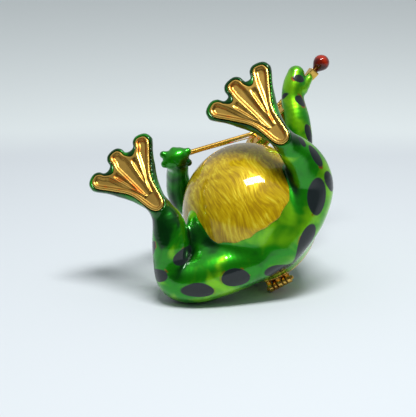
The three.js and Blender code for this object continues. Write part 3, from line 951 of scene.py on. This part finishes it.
def clouded_colour_group():
    """Colour by a level, clouded by noise: the thin colour where it is high, the deep colour where
    it is low. On the green enamel the level holds thin enamel over ridges, pooled enamel in small
    hollows, painted shade in broad creases and painted light on one shin.
    """
    group, given, out = make_group(
        "Clouded Colour",
        [
            ("Thin", "Color", (1, 1, 1, 1)),
            ("Middle", "Color", (0.5, 0.5, 0.5, 1)),
            ("Deep", "Color", (0, 0, 0, 1)),
            ("Thinness", "Float", 0.5),
            ("Cloud Scale", "Float", 120.0),
        ],
        [("Colour", "Color")],
    )
    place = node(group, "ShaderNodeTexCoord").outputs["Object"]
    cloud = noise(group, place, given["Cloud Scale"], 2.0, 0.6)
    drift = maths(group, "MULTIPLY_ADD", cloud, 1.6, -0.8)
    level = maths(group, "ADD", given["Thinness"], drift)
    low = soft_step(group, level, 0.05, 0.5)
    high = soft_step(group, level, 0.55, 0.95)
    colour = blend_colour(group, low, given["Deep"], given["Middle"])
    colour = blend_colour(group, high, colour, given["Thin"])
    group.links.new(colour, out["Colour"])
    return group


def hand_polish_group():
    """Fine marks of polishing and handling."""
    group, given, out = make_group(
        "Hand Polish",
        [("Mark Scale", "Float", 900.0), ("Smudge Scale", "Float", 140.0)],
        [("Height", "Float"), ("Smudge", "Float")],
    )
    place = node(group, "ShaderNodeTexCoord").outputs["Object"]
    marks = noise(group, place, given["Mark Scale"], 4.0)
    smudge = soft_step(group, noise(group, place, given["Smudge Scale"], 3.0, 0.4), 0.35, 0.7)
    group.links.new(marks, out["Height"])
    group.links.new(smudge, out["Smudge"])
    return group


def tarnish_and_shade_group():
    """Gilding that darkens towards the shadow colour as the hollow level rises, with red-orange
    stains along the sides of the darkened places. The darkening is painted shade and painted dark
    reflection where the level marks the hinge's knuckle gaps, the fiddle's ribs and the sole
    troughs' walls, and an even tarnished tone where a piece is given one level.
    """
    group, given, out = make_group(
        "Tarnish and Shade",
        [
            ("Metal", "Color", (1, 0.8, 0.4, 1)),
            ("Shadow", "Color", (0.2, 0.1, 0.03, 1)),
            ("Stain", "Color", (0.8, 0.2, 0.03, 1)),
            ("Hollow", "Float", 0.0),
            ("Stain Scale", "Float", 200.0),
        ],
        [("Colour", "Color"), ("Dullness", "Float")],
    )
    place = node(group, "ShaderNodeTexCoord").outputs["Object"]
    patch = noise(group, place, given["Stain Scale"], 3.0, 0.8)
    shade = maths(group, "MULTIPLY_ADD", soft_step(group, patch, 0.3, 0.6), 0.5, 0.4)
    # Darkening by the hollow level: painted shade and painted dark reflections in gaps, on ribs
    # and on trough walls, and an even tarnished tone elsewhere.
    dark = maths(group, "MULTIPLY", given["Hollow"], shade, clamp=True)
    side = maths(group, "MULTIPLY", soft_step(group, given["Hollow"], 0.12, 0.3),
                 soft_step(group, given["Hollow"], 0.85, 0.5))
    stained = maths(group, "MULTIPLY", side, soft_step(group, patch, 0.54, 0.6))
    colour = blend_colour(group, dark, given["Metal"], given["Shadow"])
    colour = blend_colour(group, stained, colour, given["Stain"])
    group.links.new(colour, out["Colour"])
    group.links.new(maths(group, "MAXIMUM", dark, stained), out["Dullness"])
    return group


GROUPS = {}
MAKERS = {
    "Clouded Colour": clouded_colour_group,
    "Hand Polish": hand_polish_group,
    "Tarnish and Shade": tarnish_and_shade_group,
}


def use_group(tree, name, **inputs):
    """The outputs of a shared node group placed with its own values."""
    if name not in GROUPS:
        GROUPS[name] = MAKERS[name]()
    made = node(tree, "ShaderNodeGroup", node_tree=GROUPS[name])
    for key, value in inputs.items():
        socket = made.inputs[key.replace("_", " ")]
        if isinstance(value, bpy.types.NodeSocket):
            tree.links.new(value, socket)
        elif hasattr(value, "__len__"):
            socket.default_value = (*list(value)[:3], 1.0)
        else:
            socket.default_value = value
    return made.outputs


def start_finish(name):
    """A new material; returns it with its tree, its shader and the object's own coordinates."""
    material = bpy.data.materials.new(name)
    material.use_nodes = True
    tree = material.node_tree
    shader = tree.nodes["Principled BSDF"]
    place = node(tree, "ShaderNodeTexCoord").outputs["Object"]
    return material, tree, shader, place


def link(tree, source, shader, name):
    tree.links.new(source, shader.inputs[name])


def bump(tree, shader, height, strength, distance):
    inputs = {"Height": height, "Strength": strength, "Distance": distance}
    link(tree, node(tree, "ShaderNodeBump", inputs).outputs["Normal"], shader, "Normal")


def glossy_coat(shader, roughness=0.03):
    shader.inputs["Coat Weight"].default_value = 1.0
    shader.inputs["Coat Roughness"].default_value = roughness
    shader.inputs["Coat IOR"].default_value = 1.4
    shader.inputs["Specular IOR Level"].default_value = 0.1


def attribute(tree, name):
    return node(tree, "ShaderNodeAttribute", attribute_name=name).outputs["Fac"]


def green_enamel(colours):
    material, tree, shader, place = start_finish("green_enamel_finish")
    # The ridge level holds thin enamel on ridges, pooled enamel in small hollows, painted shade in
    # broad creases and painted light on one shin.
    ridge = attribute(tree, "ridge")
    thinness_light_and_shade = maths(tree, "MULTIPLY_ADD", ridge, 0.42, 0.5)
    cloud = use_group(
        tree, "Clouded Colour", Thin=colours.green_thin_and_lit, Middle=colours.green_middle,
        Deep=colours.green_deep_and_shaded, Thinness=thinness_light_and_shade, Cloud_Scale=110.0,
    )
    gap = attribute(tree, "spot")
    spot = soft_step(tree, gap, 0.14, -0.14)
    edge = maths(tree, "MULTIPLY", soft_step(tree, gap, 0.55, 0.1),
                 soft_step(tree, noise(tree, place, 160.0), 0.58, 0.66))
    colour = blend_colour(tree, edge, cloud["Colour"], tuple(colours.spot_edge))
    colour = blend_colour(tree, spot, colour, tuple(colours.spot))
    link(tree, colour, shader, "Base Color")
    bare = maths(tree, "SUBTRACT", 1.0, spot)
    link(tree, maths(tree, "MULTIPLY", bare, 0.68), shader, "Metallic")
    polish = use_group(tree, "Hand Polish", Mark_Scale=700.0, Smudge_Scale=120.0)
    link(tree, maths(tree, "MULTIPLY_ADD", polish["Smudge"], 0.1, 0.3), shader, "Roughness")
    bump(tree, shader, polish["Height"], 0.08, 0.0004)
    glossy_coat(shader)
    return material


def belly_enamel(colours):
    """Yellow enamel over engraved waves that catch the light."""
    material, tree, shader, place = start_finish("belly_enamel_finish")
    swirl = node(tree, "ShaderNodeTexNoise", {"Vector": place, "Scale": 90.0, "Detail": 1.0})
    bent = node(
        tree, "ShaderNodeVectorMath",
        {0: swirl.outputs["Color"], 1: (0.006, 0.006, 0.006)}, operation="MULTIPLY",
    ).outputs[0]
    moved = node(tree, "ShaderNodeVectorMath", {0: place, 1: bent}, operation="ADD").outputs[0]
    axes = []
    for direction, stretch in (
        ((0.50, -0.28, -0.82), 0.12),
        ((0.87, 0.16, 0.47), 1.0),
        ((0.0, -0.95, 0.32), 0.35),
    ):
        dot = node(
            tree, "ShaderNodeVectorMath", {0: moved, 1: direction}, operation="DOT_PRODUCT"
        ).outputs["Value"]
        axes.append(maths(tree, "MULTIPLY", dot, stretch))
    grain = node(tree, "ShaderNodeCombineXYZ", dict(enumerate(axes))).outputs[0]
    streak = noise(tree, grain, 1500.0, 3.0, 0.25)
    patch = noise(tree, moved, 170.0, 2.0, 0.8)
    light = maths(tree, "ADD", maths(tree, "MULTIPLY", streak, 0.62),
                  maths(tree, "MULTIPLY", patch, 0.38))
    colour = blend_colour(
        tree, soft_step(tree, light, 0.38, 0.56), tuple(colours.belly_deep), tuple(colours.belly)
    )
    colour = blend_colour(
        tree, soft_step(tree, light, 0.53, 0.66), colour, tuple(colours.belly_pale)
    )
    link(tree, colour, shader, "Base Color")
    link(tree, maths(tree, "MULTIPLY", patch, 0.3), shader, "Metallic")
    polish = use_group(tree, "Hand Polish", Mark_Scale=600.0, Smudge_Scale=150.0)
    link(tree, maths(tree, "MULTIPLY_ADD", polish["Smudge"], 0.1, 0.38), shader, "Roughness")
    bump(tree, shader, streak, 0.5, 0.0003)
    glossy_coat(shader, 0.02)
    return material


def gilt_metal(colours, name="gilt_finish", hollow="hollow"):
    material, tree, shader, _ = start_finish(name)
    tarnish_and_shade = use_group(
        tree, "Tarnish and Shade", Metal=colours.gilt, Shadow=colours.tarnish_and_shade, Stain=colours.stain,
        Hollow=attribute(tree, hollow), Stain_Scale=190.0,
    )
    link(tree, tarnish_and_shade["Colour"], shader, "Base Color")
    shader.inputs["Metallic"].default_value = 1.0
    polish = use_group(tree, "Hand Polish", Mark_Scale=1100.0, Smudge_Scale=160.0)
    rough = maths(tree, "MULTIPLY_ADD", polish["Smudge"], 0.08, 0.2)
    rough = maths(tree, "MULTIPLY_ADD", tarnish_and_shade["Dullness"], 0.2, rough)
    link(tree, rough, shader, "Roughness")
    bump(tree, shader, polish["Height"], 0.1, 0.0002)
    return material


def glass(name, thin, deep, seed_scale):
    """Coloured glass clouded by noise between two tones; on the bead these are its painted lit and
    shaded sides.
    """
    material, tree, shader, _ = start_finish(name)
    cloud = use_group(
        tree, "Clouded Colour", Thin=thin, Middle=deep, Deep=deep,
        Thinness=0.62, Cloud_Scale=seed_scale,
    )
    link(tree, cloud["Colour"], shader, "Base Color")
    polish = use_group(tree, "Hand Polish", Mark_Scale=500.0, Smudge_Scale=200.0)
    link(tree, maths(tree, "MULTIPLY_ADD", polish["Smudge"], 0.05, 0.05), shader, "Roughness")
    glossy_coat(shader, 0.02)
    return material


def nickel():
    material, tree, shader, _ = start_finish("nickel_finish")
    polish = use_group(tree, "Hand Polish", Mark_Scale=1500.0, Smudge_Scale=300.0)
    colour = blend_colour(tree, polish["Smudge"], (0.62, 0.63, 0.64), (0.5, 0.51, 0.53))
    link(tree, colour, shader, "Base Color")
    shader.inputs["Metallic"].default_value = 1.0
    link(tree, maths(tree, "MULTIPLY_ADD", polish["Smudge"], 0.12, 0.22), shader, "Roughness")
    bump(tree, shader, polish["Height"], 0.15, 0.0002)
    return material


FINISHES = {}


def finish(name):
    """One of the box's finishes, made the first time that it is asked for."""
    colours = bpy.context.scene.frog_box_colours
    makers = {
        "green": lambda: green_enamel(colours),
        "belly": lambda: belly_enamel(colours),
        "gilt": lambda: gilt_metal(colours),
        "red": lambda: glass("red_glass_finish", colours.bead_painted_lit_side, colours.bead_painted_shaded_side, 130.0),
        "black": lambda: glass(
            "black_glass_finish", (0.03, 0.03, 0.035), (0.006, 0.006, 0.008), 90.0
        ),
        "nickel": nickel,
    }
    if name not in FINISHES:
        FINISHES[name] = makers[name]()
    return FINISHES[name]


# ---------------------------------------------------------------- settings


def colour_setting(name, description, default):
    return bpy.props.FloatVectorProperty(
        name=name, description=description, subtype="COLOR", size=3, min=0, max=1, default=default
    )


class FrogBoxColours(bpy.types.PropertyGroup):
    """Colours of the enamels, gilding and glass."""

    # The thin green also paints light on one shin; the deep green also paints shade in broad
    # creases and colours the darker feet and right arm.
    green_thin_and_lit: colour_setting("Thin green", "Enamel over ridges", (0.22, 0.62, 0.006))
    green_middle: colour_setting("Green", "Enamel at its usual depth", (0.013, 0.28, 0.003))
    green_deep_and_shaded: colour_setting("Deep green", "Enamel in hollows", (0.001, 0.05, 0.004))
    spot: colour_setting("Spots", "Opaque dark spots", (0.012, 0.018, 0.019))
    spot_edge: colour_setting("Spot edges", "Fired edge of a spot", (0.30, 0.07, 0.01))
    belly: colour_setting("Belly", "Yellow enamel", (0.57, 0.39, 0.002))
    belly_pale: colour_setting("Pale belly", "Light waves in the yellow", (0.72, 0.58, 0.03))
    belly_deep: colour_setting("Deep belly", "Shaded waves in the yellow", (0.38, 0.23, 0.001))
    gilt: colour_setting("Gilding", "Clean gilded metal", (0.86, 0.52, 0.11))
    # Dark gilding: an even tarnished tone on some pieces, and painted shade and painted dark
    # reflections in the hinge's knuckle gaps, on the fiddle's ribs and on the sole troughs' walls.
    tarnish_and_shade: colour_setting("Tarnish and Shade", "Gilding in deep channels", (0.16, 0.08, 0.012))
    stain: colour_setting("Stain", "Red-orange streaks on the gilding", (0.75, 0.16, 0.02))
    # The bead's two tones are its painted lit and shaded sides, laid across it by noise.
    bead_painted_lit_side: colour_setting("Bead", "Lit side of the glass bead", (0.42, 0.022, 0.003))
    bead_painted_shaded_side: colour_setting("Dark bead", "Shaded side of the glass bead", (0.07, 0.004, 0.002))


class FrogBoxDetail(bpy.types.PropertyGroup):
    """How finely the shapes are meshed."""

    casting_step: bpy.props.FloatProperty(
        name="Casting step", description="Mesh size on the castings",
        default=0.4 * MM, min=0.2 * MM, unit="LENGTH", precision=5,
    )
    fitting_step: bpy.props.FloatProperty(
        name="Fitting step", description="Mesh size on gilt and glass parts",
        default=0.2 * MM, min=0.1 * MM, unit="LENGTH", precision=5,
    )


class FrogBoxStage(bpy.types.PropertyGroup):
    """The table, the lamp and the camera."""

    table_near: colour_setting("Table", "Table under the box", (0.64, 0.685, 0.72))
    table_far: colour_setting("Far table", "Table beyond the box", (0.76, 0.82, 0.83))
    lamp_width: bpy.props.FloatProperty(
        name="Lamp width", description="Long side of the lamp overhead",
        default=0.27, min=0.05, unit="LENGTH",
    )
    lamp_depth: bpy.props.FloatProperty(
        name="Lamp depth", description="Short side of the lamp overhead",
        default=0.10, min=0.05, unit="LENGTH",
    )
    lamp_power: bpy.props.FloatProperty(
        name="Lamp power", description="Power of the lamp overhead",
        default=2.7, min=0.0, unit="POWER",
    )
    camera_distance: bpy.props.FloatProperty(
        name="Camera distance", description="From the camera to its aim",
        default=0.4, min=0.1, unit="LENGTH",
    )
    camera_elevation: bpy.props.FloatProperty(
        name="Camera elevation", description="Angle of the camera above the table",
        default=math.radians(19.0), unit="ROTATION",
    )


# ---------------------------------------------------------------- pieces


def steps():
    detail = bpy.context.scene.frog_box_detail
    coarser = 1.0
    return detail.casting_step / MM * coarser, detail.fitting_step / MM * coarser


def even_hollow(depth):
    """The same depth of tarnished tone all over a piece."""
    return lambda p: np.full(len(p), depth)


def fitting(name, shape, low, high, material, body, slot, nodes, step=None, **extra):
    """Skins a small part and adds it."""
    points, faces = skin(shape, np.asarray(low), np.asarray(high), step or steps()[1])
    values = {key: make(points) for key, make in extra.items()}
    return make_piece(name, points, faces, finish(material), body, slot, nodes, **values)


def box_round(node_names, margin=1.5):
    """The box of some plain nodes, as it is on the standing frog, in millimetres."""
    lay = lying_matrix().inverted()
    points = [
        lay @ v.co for n in node_names for v in frame["nodes"][n].data.vertices
    ]
    points = np.array(points)
    return points.min(axis=0) - margin, points.max(axis=0) + margin


def enamel_depth_and_painted_shade(shape, points):
    """Level of the green enamel: high where it runs thin on sharp ridges, low where it pools in
    small hollows, painted shade in broad creases, darker on the feet and on the right arm and
    fist, and painted light on one shin.
    """
    # Broad creases are darkened: painted shade.
    wide = np.clip(crest(shape, points, 4.0), -1.0, 0.0)
    ridge = 0.75 * crest(shape, points) + 2.0 * wide
    # Darker on the feet and on the right arm and fist.
    foot = ramp(-points[:, UP], -5.0, -3.4)
    reach = np.minimum(limb_shape(points, RIGHT_ARM), ball(points, FIST, 4.6))
    arm = ramp(-reach, -2.5, -0.5)
    # One shin is made paler: painted light.
    shin = ramp(-ball(points, PAINTED_LIGHT_SHIN, 4.0), -2.5, 1.0)
    return ridge * (1 - foot) * (1 - 0.6 * arm) - 0.8 * foot - 0.7 * arm + 0.75 * shin


def casting(name, shape, low, high, body, nodes):
    """An enamelled casting, gilt inside the box."""
    points, faces = skin(shape, low, high, steps()[0])
    ridge = enamel_depth_and_painted_shade(shape, points)
    piece = make_piece(
        name, points, faces, finish("green"), body, "green_enamel", nodes,
        ridge=ridge, spot=spot_distance(points), hollow=np.full(len(points), 0.15),
    )
    piece.data.materials.append(finish("gilt"))
    inside = body_shape(points, -0.5) < 0
    lining = inside[faces].sum(axis=1) > 2
    piece.data.polygons.foreach_set("material_index", lining.astype(np.int32))
    return piece


class FROGBOX_OT_base(bpy.types.Operator):
    """Lower casting with both legs and webbed feet"""

    bl_idname = "frogbox.base"
    bl_label = "Base casting"

    def execute(self, context):
        nodes = ("base_shell", "right_leg", "left_leg")
        low, high = box_round(nodes, 1.6)
        casting("base_casting", base_shape, low, high, "base", nodes)
        return {"FINISHED"}


class FROGBOX_OT_lid(bpy.types.Operator):
    """Upper casting with the head and arms"""

    bl_idname = "frogbox.lid"
    bl_label = "Lid casting"

    def execute(self, context):
        nodes = ("lid_shell", "head", "right_arm", "left_arm")
        low, high = box_round(nodes, 1.6)
        casting("lid_casting", lid_shape, low, high, "lid", nodes)
        return {"FINISHED"}


class FROGBOX_OT_belly(bpy.types.Operator):
    """Raised field of yellow enamel on the belly"""

    bl_idname = "frogbox.belly"
    bl_label = "Belly enamel"

    def execute(self, context):
        low, high = box_round(("belly_enamel",), 1.0)
        fitting(
            "belly_field", belly_shape, low, high, "belly", "base", "belly_enamel",
            ("belly_enamel",), steps()[0] * 0.75,
        )
        return {"FINISHED"}


class FROGBOX_OT_soles(bpy.types.Operator):
    """Gilt treads of both feet"""

    bl_idname = "frogbox.soles"
    bl_label = "Soles"

    def execute(self, context):
        for side in FEET:
            low, high = box_round((f"{side}_sole",), 0.6)

            def shape(p, side=side):
                return sole_shape(p, side)

            # Strongest halfway down the cut's walls: painted dark reflections on the trough walls.
            def hollow(points, side=side):
                flat = outline_distance(points, sole_outline(side))
                cut = sole_depth(points, side, flat) / TROUGH
                return 4.0 * cut * (1.0 - cut)

            fitting(
                f"{side}_foot_tread", shape, low, high, "gilt", "base", "gilt",
                (f"{side}_sole",), hollow=hollow,
            )
        return {"FINISHED"}


def knuckle_gap_shade(points):
    """Darker gilding within a third of a millimetre of each knuckle's ends: painted shade in the
    gaps between knuckles.
    """
    spans = knuckle_spans()
    gap = np.min([np.abs(points[:, 0] - x) for span in spans for x in span], axis=0)
    return ramp(-gap, -0.35, -0.05) * 0.9


class FROGBOX_OT_hinge(bpy.types.Operator):
    """Both leaves of the hinge and its pin"""

    bl_idname = "frogbox.hinge"
    bl_label = "Hinge"

    def execute(self, context):
        for body, side, name in (("base", -1, "hinge_base_leaf"), ("lid", 1, "hinge_lid_leaf")):

            def shape(p, side=side):
                return hinge_shape(p, side)

            low, high = box_round((name,), 0.8)
            fitting(
                f"{name}_cast", shape, low, high, "gilt", body, "gilt", (name,),
                steps()[1] * 0.7, hollow=knuckle_gap_shade,
            )
        low, high = box_round(("hinge_pin",), 0.5)
        fitting("hinge_pin_riveted", pin_shape, low, high, "gilt", "lid", "gilt",
                ("hinge_pin",), steps()[1] * 0.6, hollow=even_hollow(0.4))
        return {"FINISHED"}


class FROGBOX_OT_mouth(bpy.types.Operator):
    """Gilt rims of the mouth, and the magnets that hold it shut"""

    bl_idname = "frogbox.mouth"
    bl_label = "Rims and magnets"

    def execute(self, context):
        for body, side in (("base", -1), ("lid", 1)):

            def shape(p, side=side):
                return rim_shape(p, side)

            name = f"{body}_rim"
            low, high = box_round((name,), 0.8)
            fitting(f"{name}_ring", shape, low, high, "gilt", body, "gilt", (name,),
                    steps()[1] * 1.2, hollow=even_hollow(0.12))
            magnet = frame["nodes"][f"{body}_magnet"]
            magnet.data.materials.clear()
            magnet.data.materials.append(finish("nickel"))
        return {"FINISHED"}


class FROGBOX_OT_eyes(bpy.types.Operator):
    """Black glass eyes in beaded gilt settings"""

    bl_idname = "frogbox.eyes"
    bl_label = "Eyes"

    def execute(self, context):
        for word, side in (("right", -1), ("left", 1)):

            def eye(p, side=side):
                return eye_shape(p, side)

            def setting(p, side=side):
                return setting_shape(p, side)

            low, high = box_round((f"{word}_eye",), 0.4)
            fitting(f"{word}_eye_glass", eye, low, high, "black", "lid", "eye_glass",
                    (f"{word}_eye",), steps()[1] * 1.3)
            low, high = box_round((f"{word}_eye_setting",), 1.0)
            fitting(f"{word}_eye_ring", setting, low, high, "gilt", "lid", "gilt",
                    (f"{word}_eye_setting",), hollow=even_hollow(0.1))
        return {"FINISHED"}


class FROGBOX_OT_fiddle(bpy.types.Operator):
    """Gilt fiddle with its neck and red glass bead"""

    bl_idname = "frogbox.fiddle"
    bl_label = "Fiddle"

    def execute(self, context):
        # Darker gilding on the ribs under the overhang of the plates is painted shade; a darker
        # line also runs just inside the plates' edge.
        def edge(points):
            q = from_fiddle(points)
            flat = outline_distance(q, fiddle_outline())
            rib = ramp(-np.abs(q[:, 2]), -1.1, -0.8)
            return np.maximum(rib * 0.5, ramp(-np.abs(flat + 0.7), -0.25, 0.0) * 0.5)

        low, high = box_round(("fiddle_body",), 2.4)
        fitting("fiddle_body_carved", fiddle_shape, low, high, "gilt", "lid", "gilt",
                ("fiddle_body",), hollow=edge)
        low, high = box_round(("fiddle_neck",), 1.2)
        fitting("fiddle_neck_carved", neck_shape, low, high, "gilt", "lid", "gilt",
                ("fiddle_neck",), hollow=even_hollow(0.1))
        low, high = box_round(("scroll_bead",), 1.6)
        fitting("scroll_bead_glass", bead_shape, low, high, "red", "lid", "red_glass",
                ("scroll_bead",))
        return {"FINISHED"}


class FROGBOX_OT_bow(bpy.types.Operator):
    """Bow stick and its ribbon of hair"""

    bl_idname = "frogbox.bow"
    bl_label = "Bow"

    def execute(self, context):
        low, high = box_round(("bow_stick",), 1.8)
        fitting("bow_stick_turned", bow_shape, low, high, "gilt", "lid", "gilt",
                ("bow_stick",), hollow=even_hollow(0.1))
        low, high = box_round(("bow_hair",), 1.0)
        fitting("bow_hair_strands", hair_shape, low, high, "gilt", "lid", "gilt",
                ("bow_hair",), steps()[1] * 0.7, hollow=even_hollow(0.45))
        return {"FINISHED"}


# ---------------------------------------------------------------- stage


def table_top(settings):
    """A wide pale table that grows greyer away from the box."""
    rings, around = 48, 96
    radii = [0.0] + [0.02 * 1.13**i for i in range(rings)]
    points = [(0.0, 0.0, 0.0)]
    for r in radii[1:]:
        for k in range(around):
            a = 2 * math.pi * k / around
            points.append((r * math.cos(a), r * math.sin(a), 0.0))
    faces = [(0, 1 + k, 1 + (k + 1) % around) for k in range(around)]
    for i in range(rings - 1):
        a, b = 1 + i * around, 1 + (i + 1) * around
        for k in range(around):
            n = (k + 1) % around
            faces.append((a + k, b + k, b + n, a + n))
    mesh = bpy.data.meshes.new("table_top")
    mesh.from_pydata(points, [], faces)
    material, tree, shader, place = start_finish("table_finish")
    centre = node(
        tree, "ShaderNodeVectorMath", {0: place, 1: (0.0, 0.62, 0.0)}, operation="ADD"
    ).outputs[0]
    length = node(tree, "ShaderNodeVectorMath", {0: centre}, operation="LENGTH").outputs["Value"]
    wave = maths(tree, "MULTIPLY_ADD", noise(tree, place, 14.0, 2.0), 0.03, length)
    far = soft_step(tree, wave, 0.755, 0.815)
    colour = blend_colour(tree, far, tuple(settings.table_near), tuple(settings.table_far))
    link(tree, colour, shader, "Base Color")
    shader.inputs["Roughness"].default_value = 0.75
    shader.inputs["Specular IOR Level"].default_value = 0.2
    mesh.materials.append(material)
    table = bpy.data.objects.new("table_top", mesh)
    bpy.context.scene.collection.objects.link(table)
    table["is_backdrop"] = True


def surroundings():
    """Pale studio: bright above and behind, dimmer towards the front."""
    world = bpy.data.worlds.new("pale_studio")
    bpy.context.scene.world = world
    world.use_nodes = True
    tree = world.node_tree
    tree.nodes.clear()
    toward = node(tree, "ShaderNodeTexCoord").outputs["Generated"]
    lean = node(
        tree, "ShaderNodeVectorMath", {0: toward, 1: (0.0, 0.72, 0.69)}, operation="DOT_PRODUCT"
    ).outputs["Value"]
    share = soft_step(tree, lean, -0.3, 0.75)
    colour = blend_colour(tree, share, (0.09, 0.095, 0.1), (0.93, 0.97, 1.0))
    lit = node(tree, "ShaderNodeBackground", {"Color": colour, "Strength": 0.55})
    seen = node(tree, "ShaderNodeBackground", {"Color": (0.60, 0.65, 0.66), "Strength": 1.0})
    camera_ray = node(tree, "ShaderNodeLightPath").outputs["Is Camera Ray"]
    mixed = node(tree, "ShaderNodeMixShader", {0: camera_ray})
    tree.links.new(lit.outputs[0], mixed.inputs[1])
    tree.links.new(seen.outputs[0], mixed.inputs[2])
    node(tree, "ShaderNodeOutputWorld", {"Surface": mixed.outputs[0]})


LAMP_AIM = (0.0, 0.0, 0.03)
LAMP_TOWARD = (0.107, -0.28, 0.954)
LAMP_DISTANCE = 0.5
CAMERA_AIM = (-0.0019, -0.0106, 0.0247)
CAMERA_LENS = 115.4
CAMERA_SENSOR = 36.0


def lamp(name, toward, distance, width, depth, power):
    """A soft rectangular lamp that looks at the box from the given direction."""
    light = bpy.data.lights.new(name, "AREA")
    light.shape = "RECTANGLE"
    light.size, light.size_y = width, depth
    light.energy = power
    holder = bpy.data.objects.new(name, light)
    aim = Vector(LAMP_AIM)
    direction = Vector(toward).normalized()
    holder.location = aim + direction * distance
    holder.rotation_euler = direction.to_track_quat("Z", "Y").to_euler()
    bpy.context.scene.collection.objects.link(holder)


class FROGBOX_OT_stage(bpy.types.Operator):
    """Table, studio light and camera"""

    bl_idname = "frogbox.stage"
    bl_label = "Stage"

    def execute(self, context):
        settings = context.scene.frog_box_stage
        table_top(settings)
        surroundings()
        lamp("lamp_overhead", LAMP_TOWARD, LAMP_DISTANCE,
             settings.lamp_width, settings.lamp_depth, settings.lamp_power)
        context.scene.view_settings.view_transform = "Standard"
        camera = bpy.data.cameras.new("camera")
        camera.lens = CAMERA_LENS
        camera.sensor_width = CAMERA_SENSOR
        camera.clip_start, camera.clip_end = 0.01, 20.0
        holder = bpy.data.objects.new("camera", camera)
        aim = Vector(CAMERA_AIM)
        up = settings.camera_elevation
        back = Vector((0.0, -math.cos(up), math.sin(up)))
        holder.location = aim + back * settings.camera_distance
        holder.rotation_euler = (math.pi / 2 - up, 0.0, 0.0)
        context.scene.collection.objects.link(holder)
        context.scene.camera = holder
        return {"FINISHED"}


# ---------------------------------------------------------------- panel and run


OPERATORS = (
    FROGBOX_OT_stage,
    FROGBOX_OT_base,
    FROGBOX_OT_lid,
    FROGBOX_OT_belly,
    FROGBOX_OT_soles,
    FROGBOX_OT_hinge,
    FROGBOX_OT_mouth,
    FROGBOX_OT_eyes,
    FROGBOX_OT_fiddle,
    FROGBOX_OT_bow,
)
SETTINGS = {
    "frog_box_colours": FrogBoxColours,
    "frog_box_detail": FrogBoxDetail,
    "frog_box_stage": FrogBoxStage,
}


class FROGBOX_PT_panel(bpy.types.Panel):
    """Every piece of the box, with its settings"""

    bl_idname = "FROGBOX_PT_panel"
    bl_label = "Frog Box"
    bl_space_type = "VIEW_3D"
    bl_region_type = "UI"
    bl_category = "Frog Box"

    def draw(self, context):
        for operator in OPERATORS:
            self.layout.operator(operator.bl_idname)
        for name, group in SETTINGS.items():
            column = self.layout.box().column()
            for key in group.__annotations__:
                column.prop(getattr(context.scene, name), key)


def register():
    for group in (*SETTINGS.values(), *OPERATORS, FROGBOX_PT_panel):
        bpy.utils.register_class(group)
    for name, group in SETTINGS.items():
        setattr(bpy.types.Scene, name, bpy.props.PointerProperty(type=group))


def unregister():
    for name in SETTINGS:
        delattr(bpy.types.Scene, name)
    for group in (FROGBOX_PT_panel, *reversed(OPERATORS), *reversed(SETTINGS.values())):
        bpy.utils.unregister_class(group)


def main():
    register()
    for operator in OPERATORS:
        family, name = operator.bl_idname.split(".")
        getattr(getattr(bpy.ops, family), name)()
    sizes = [[list(corner) for corner in box] for box in (CAD_BOUNDS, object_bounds())]


if __name__ == "__main__":
    main()
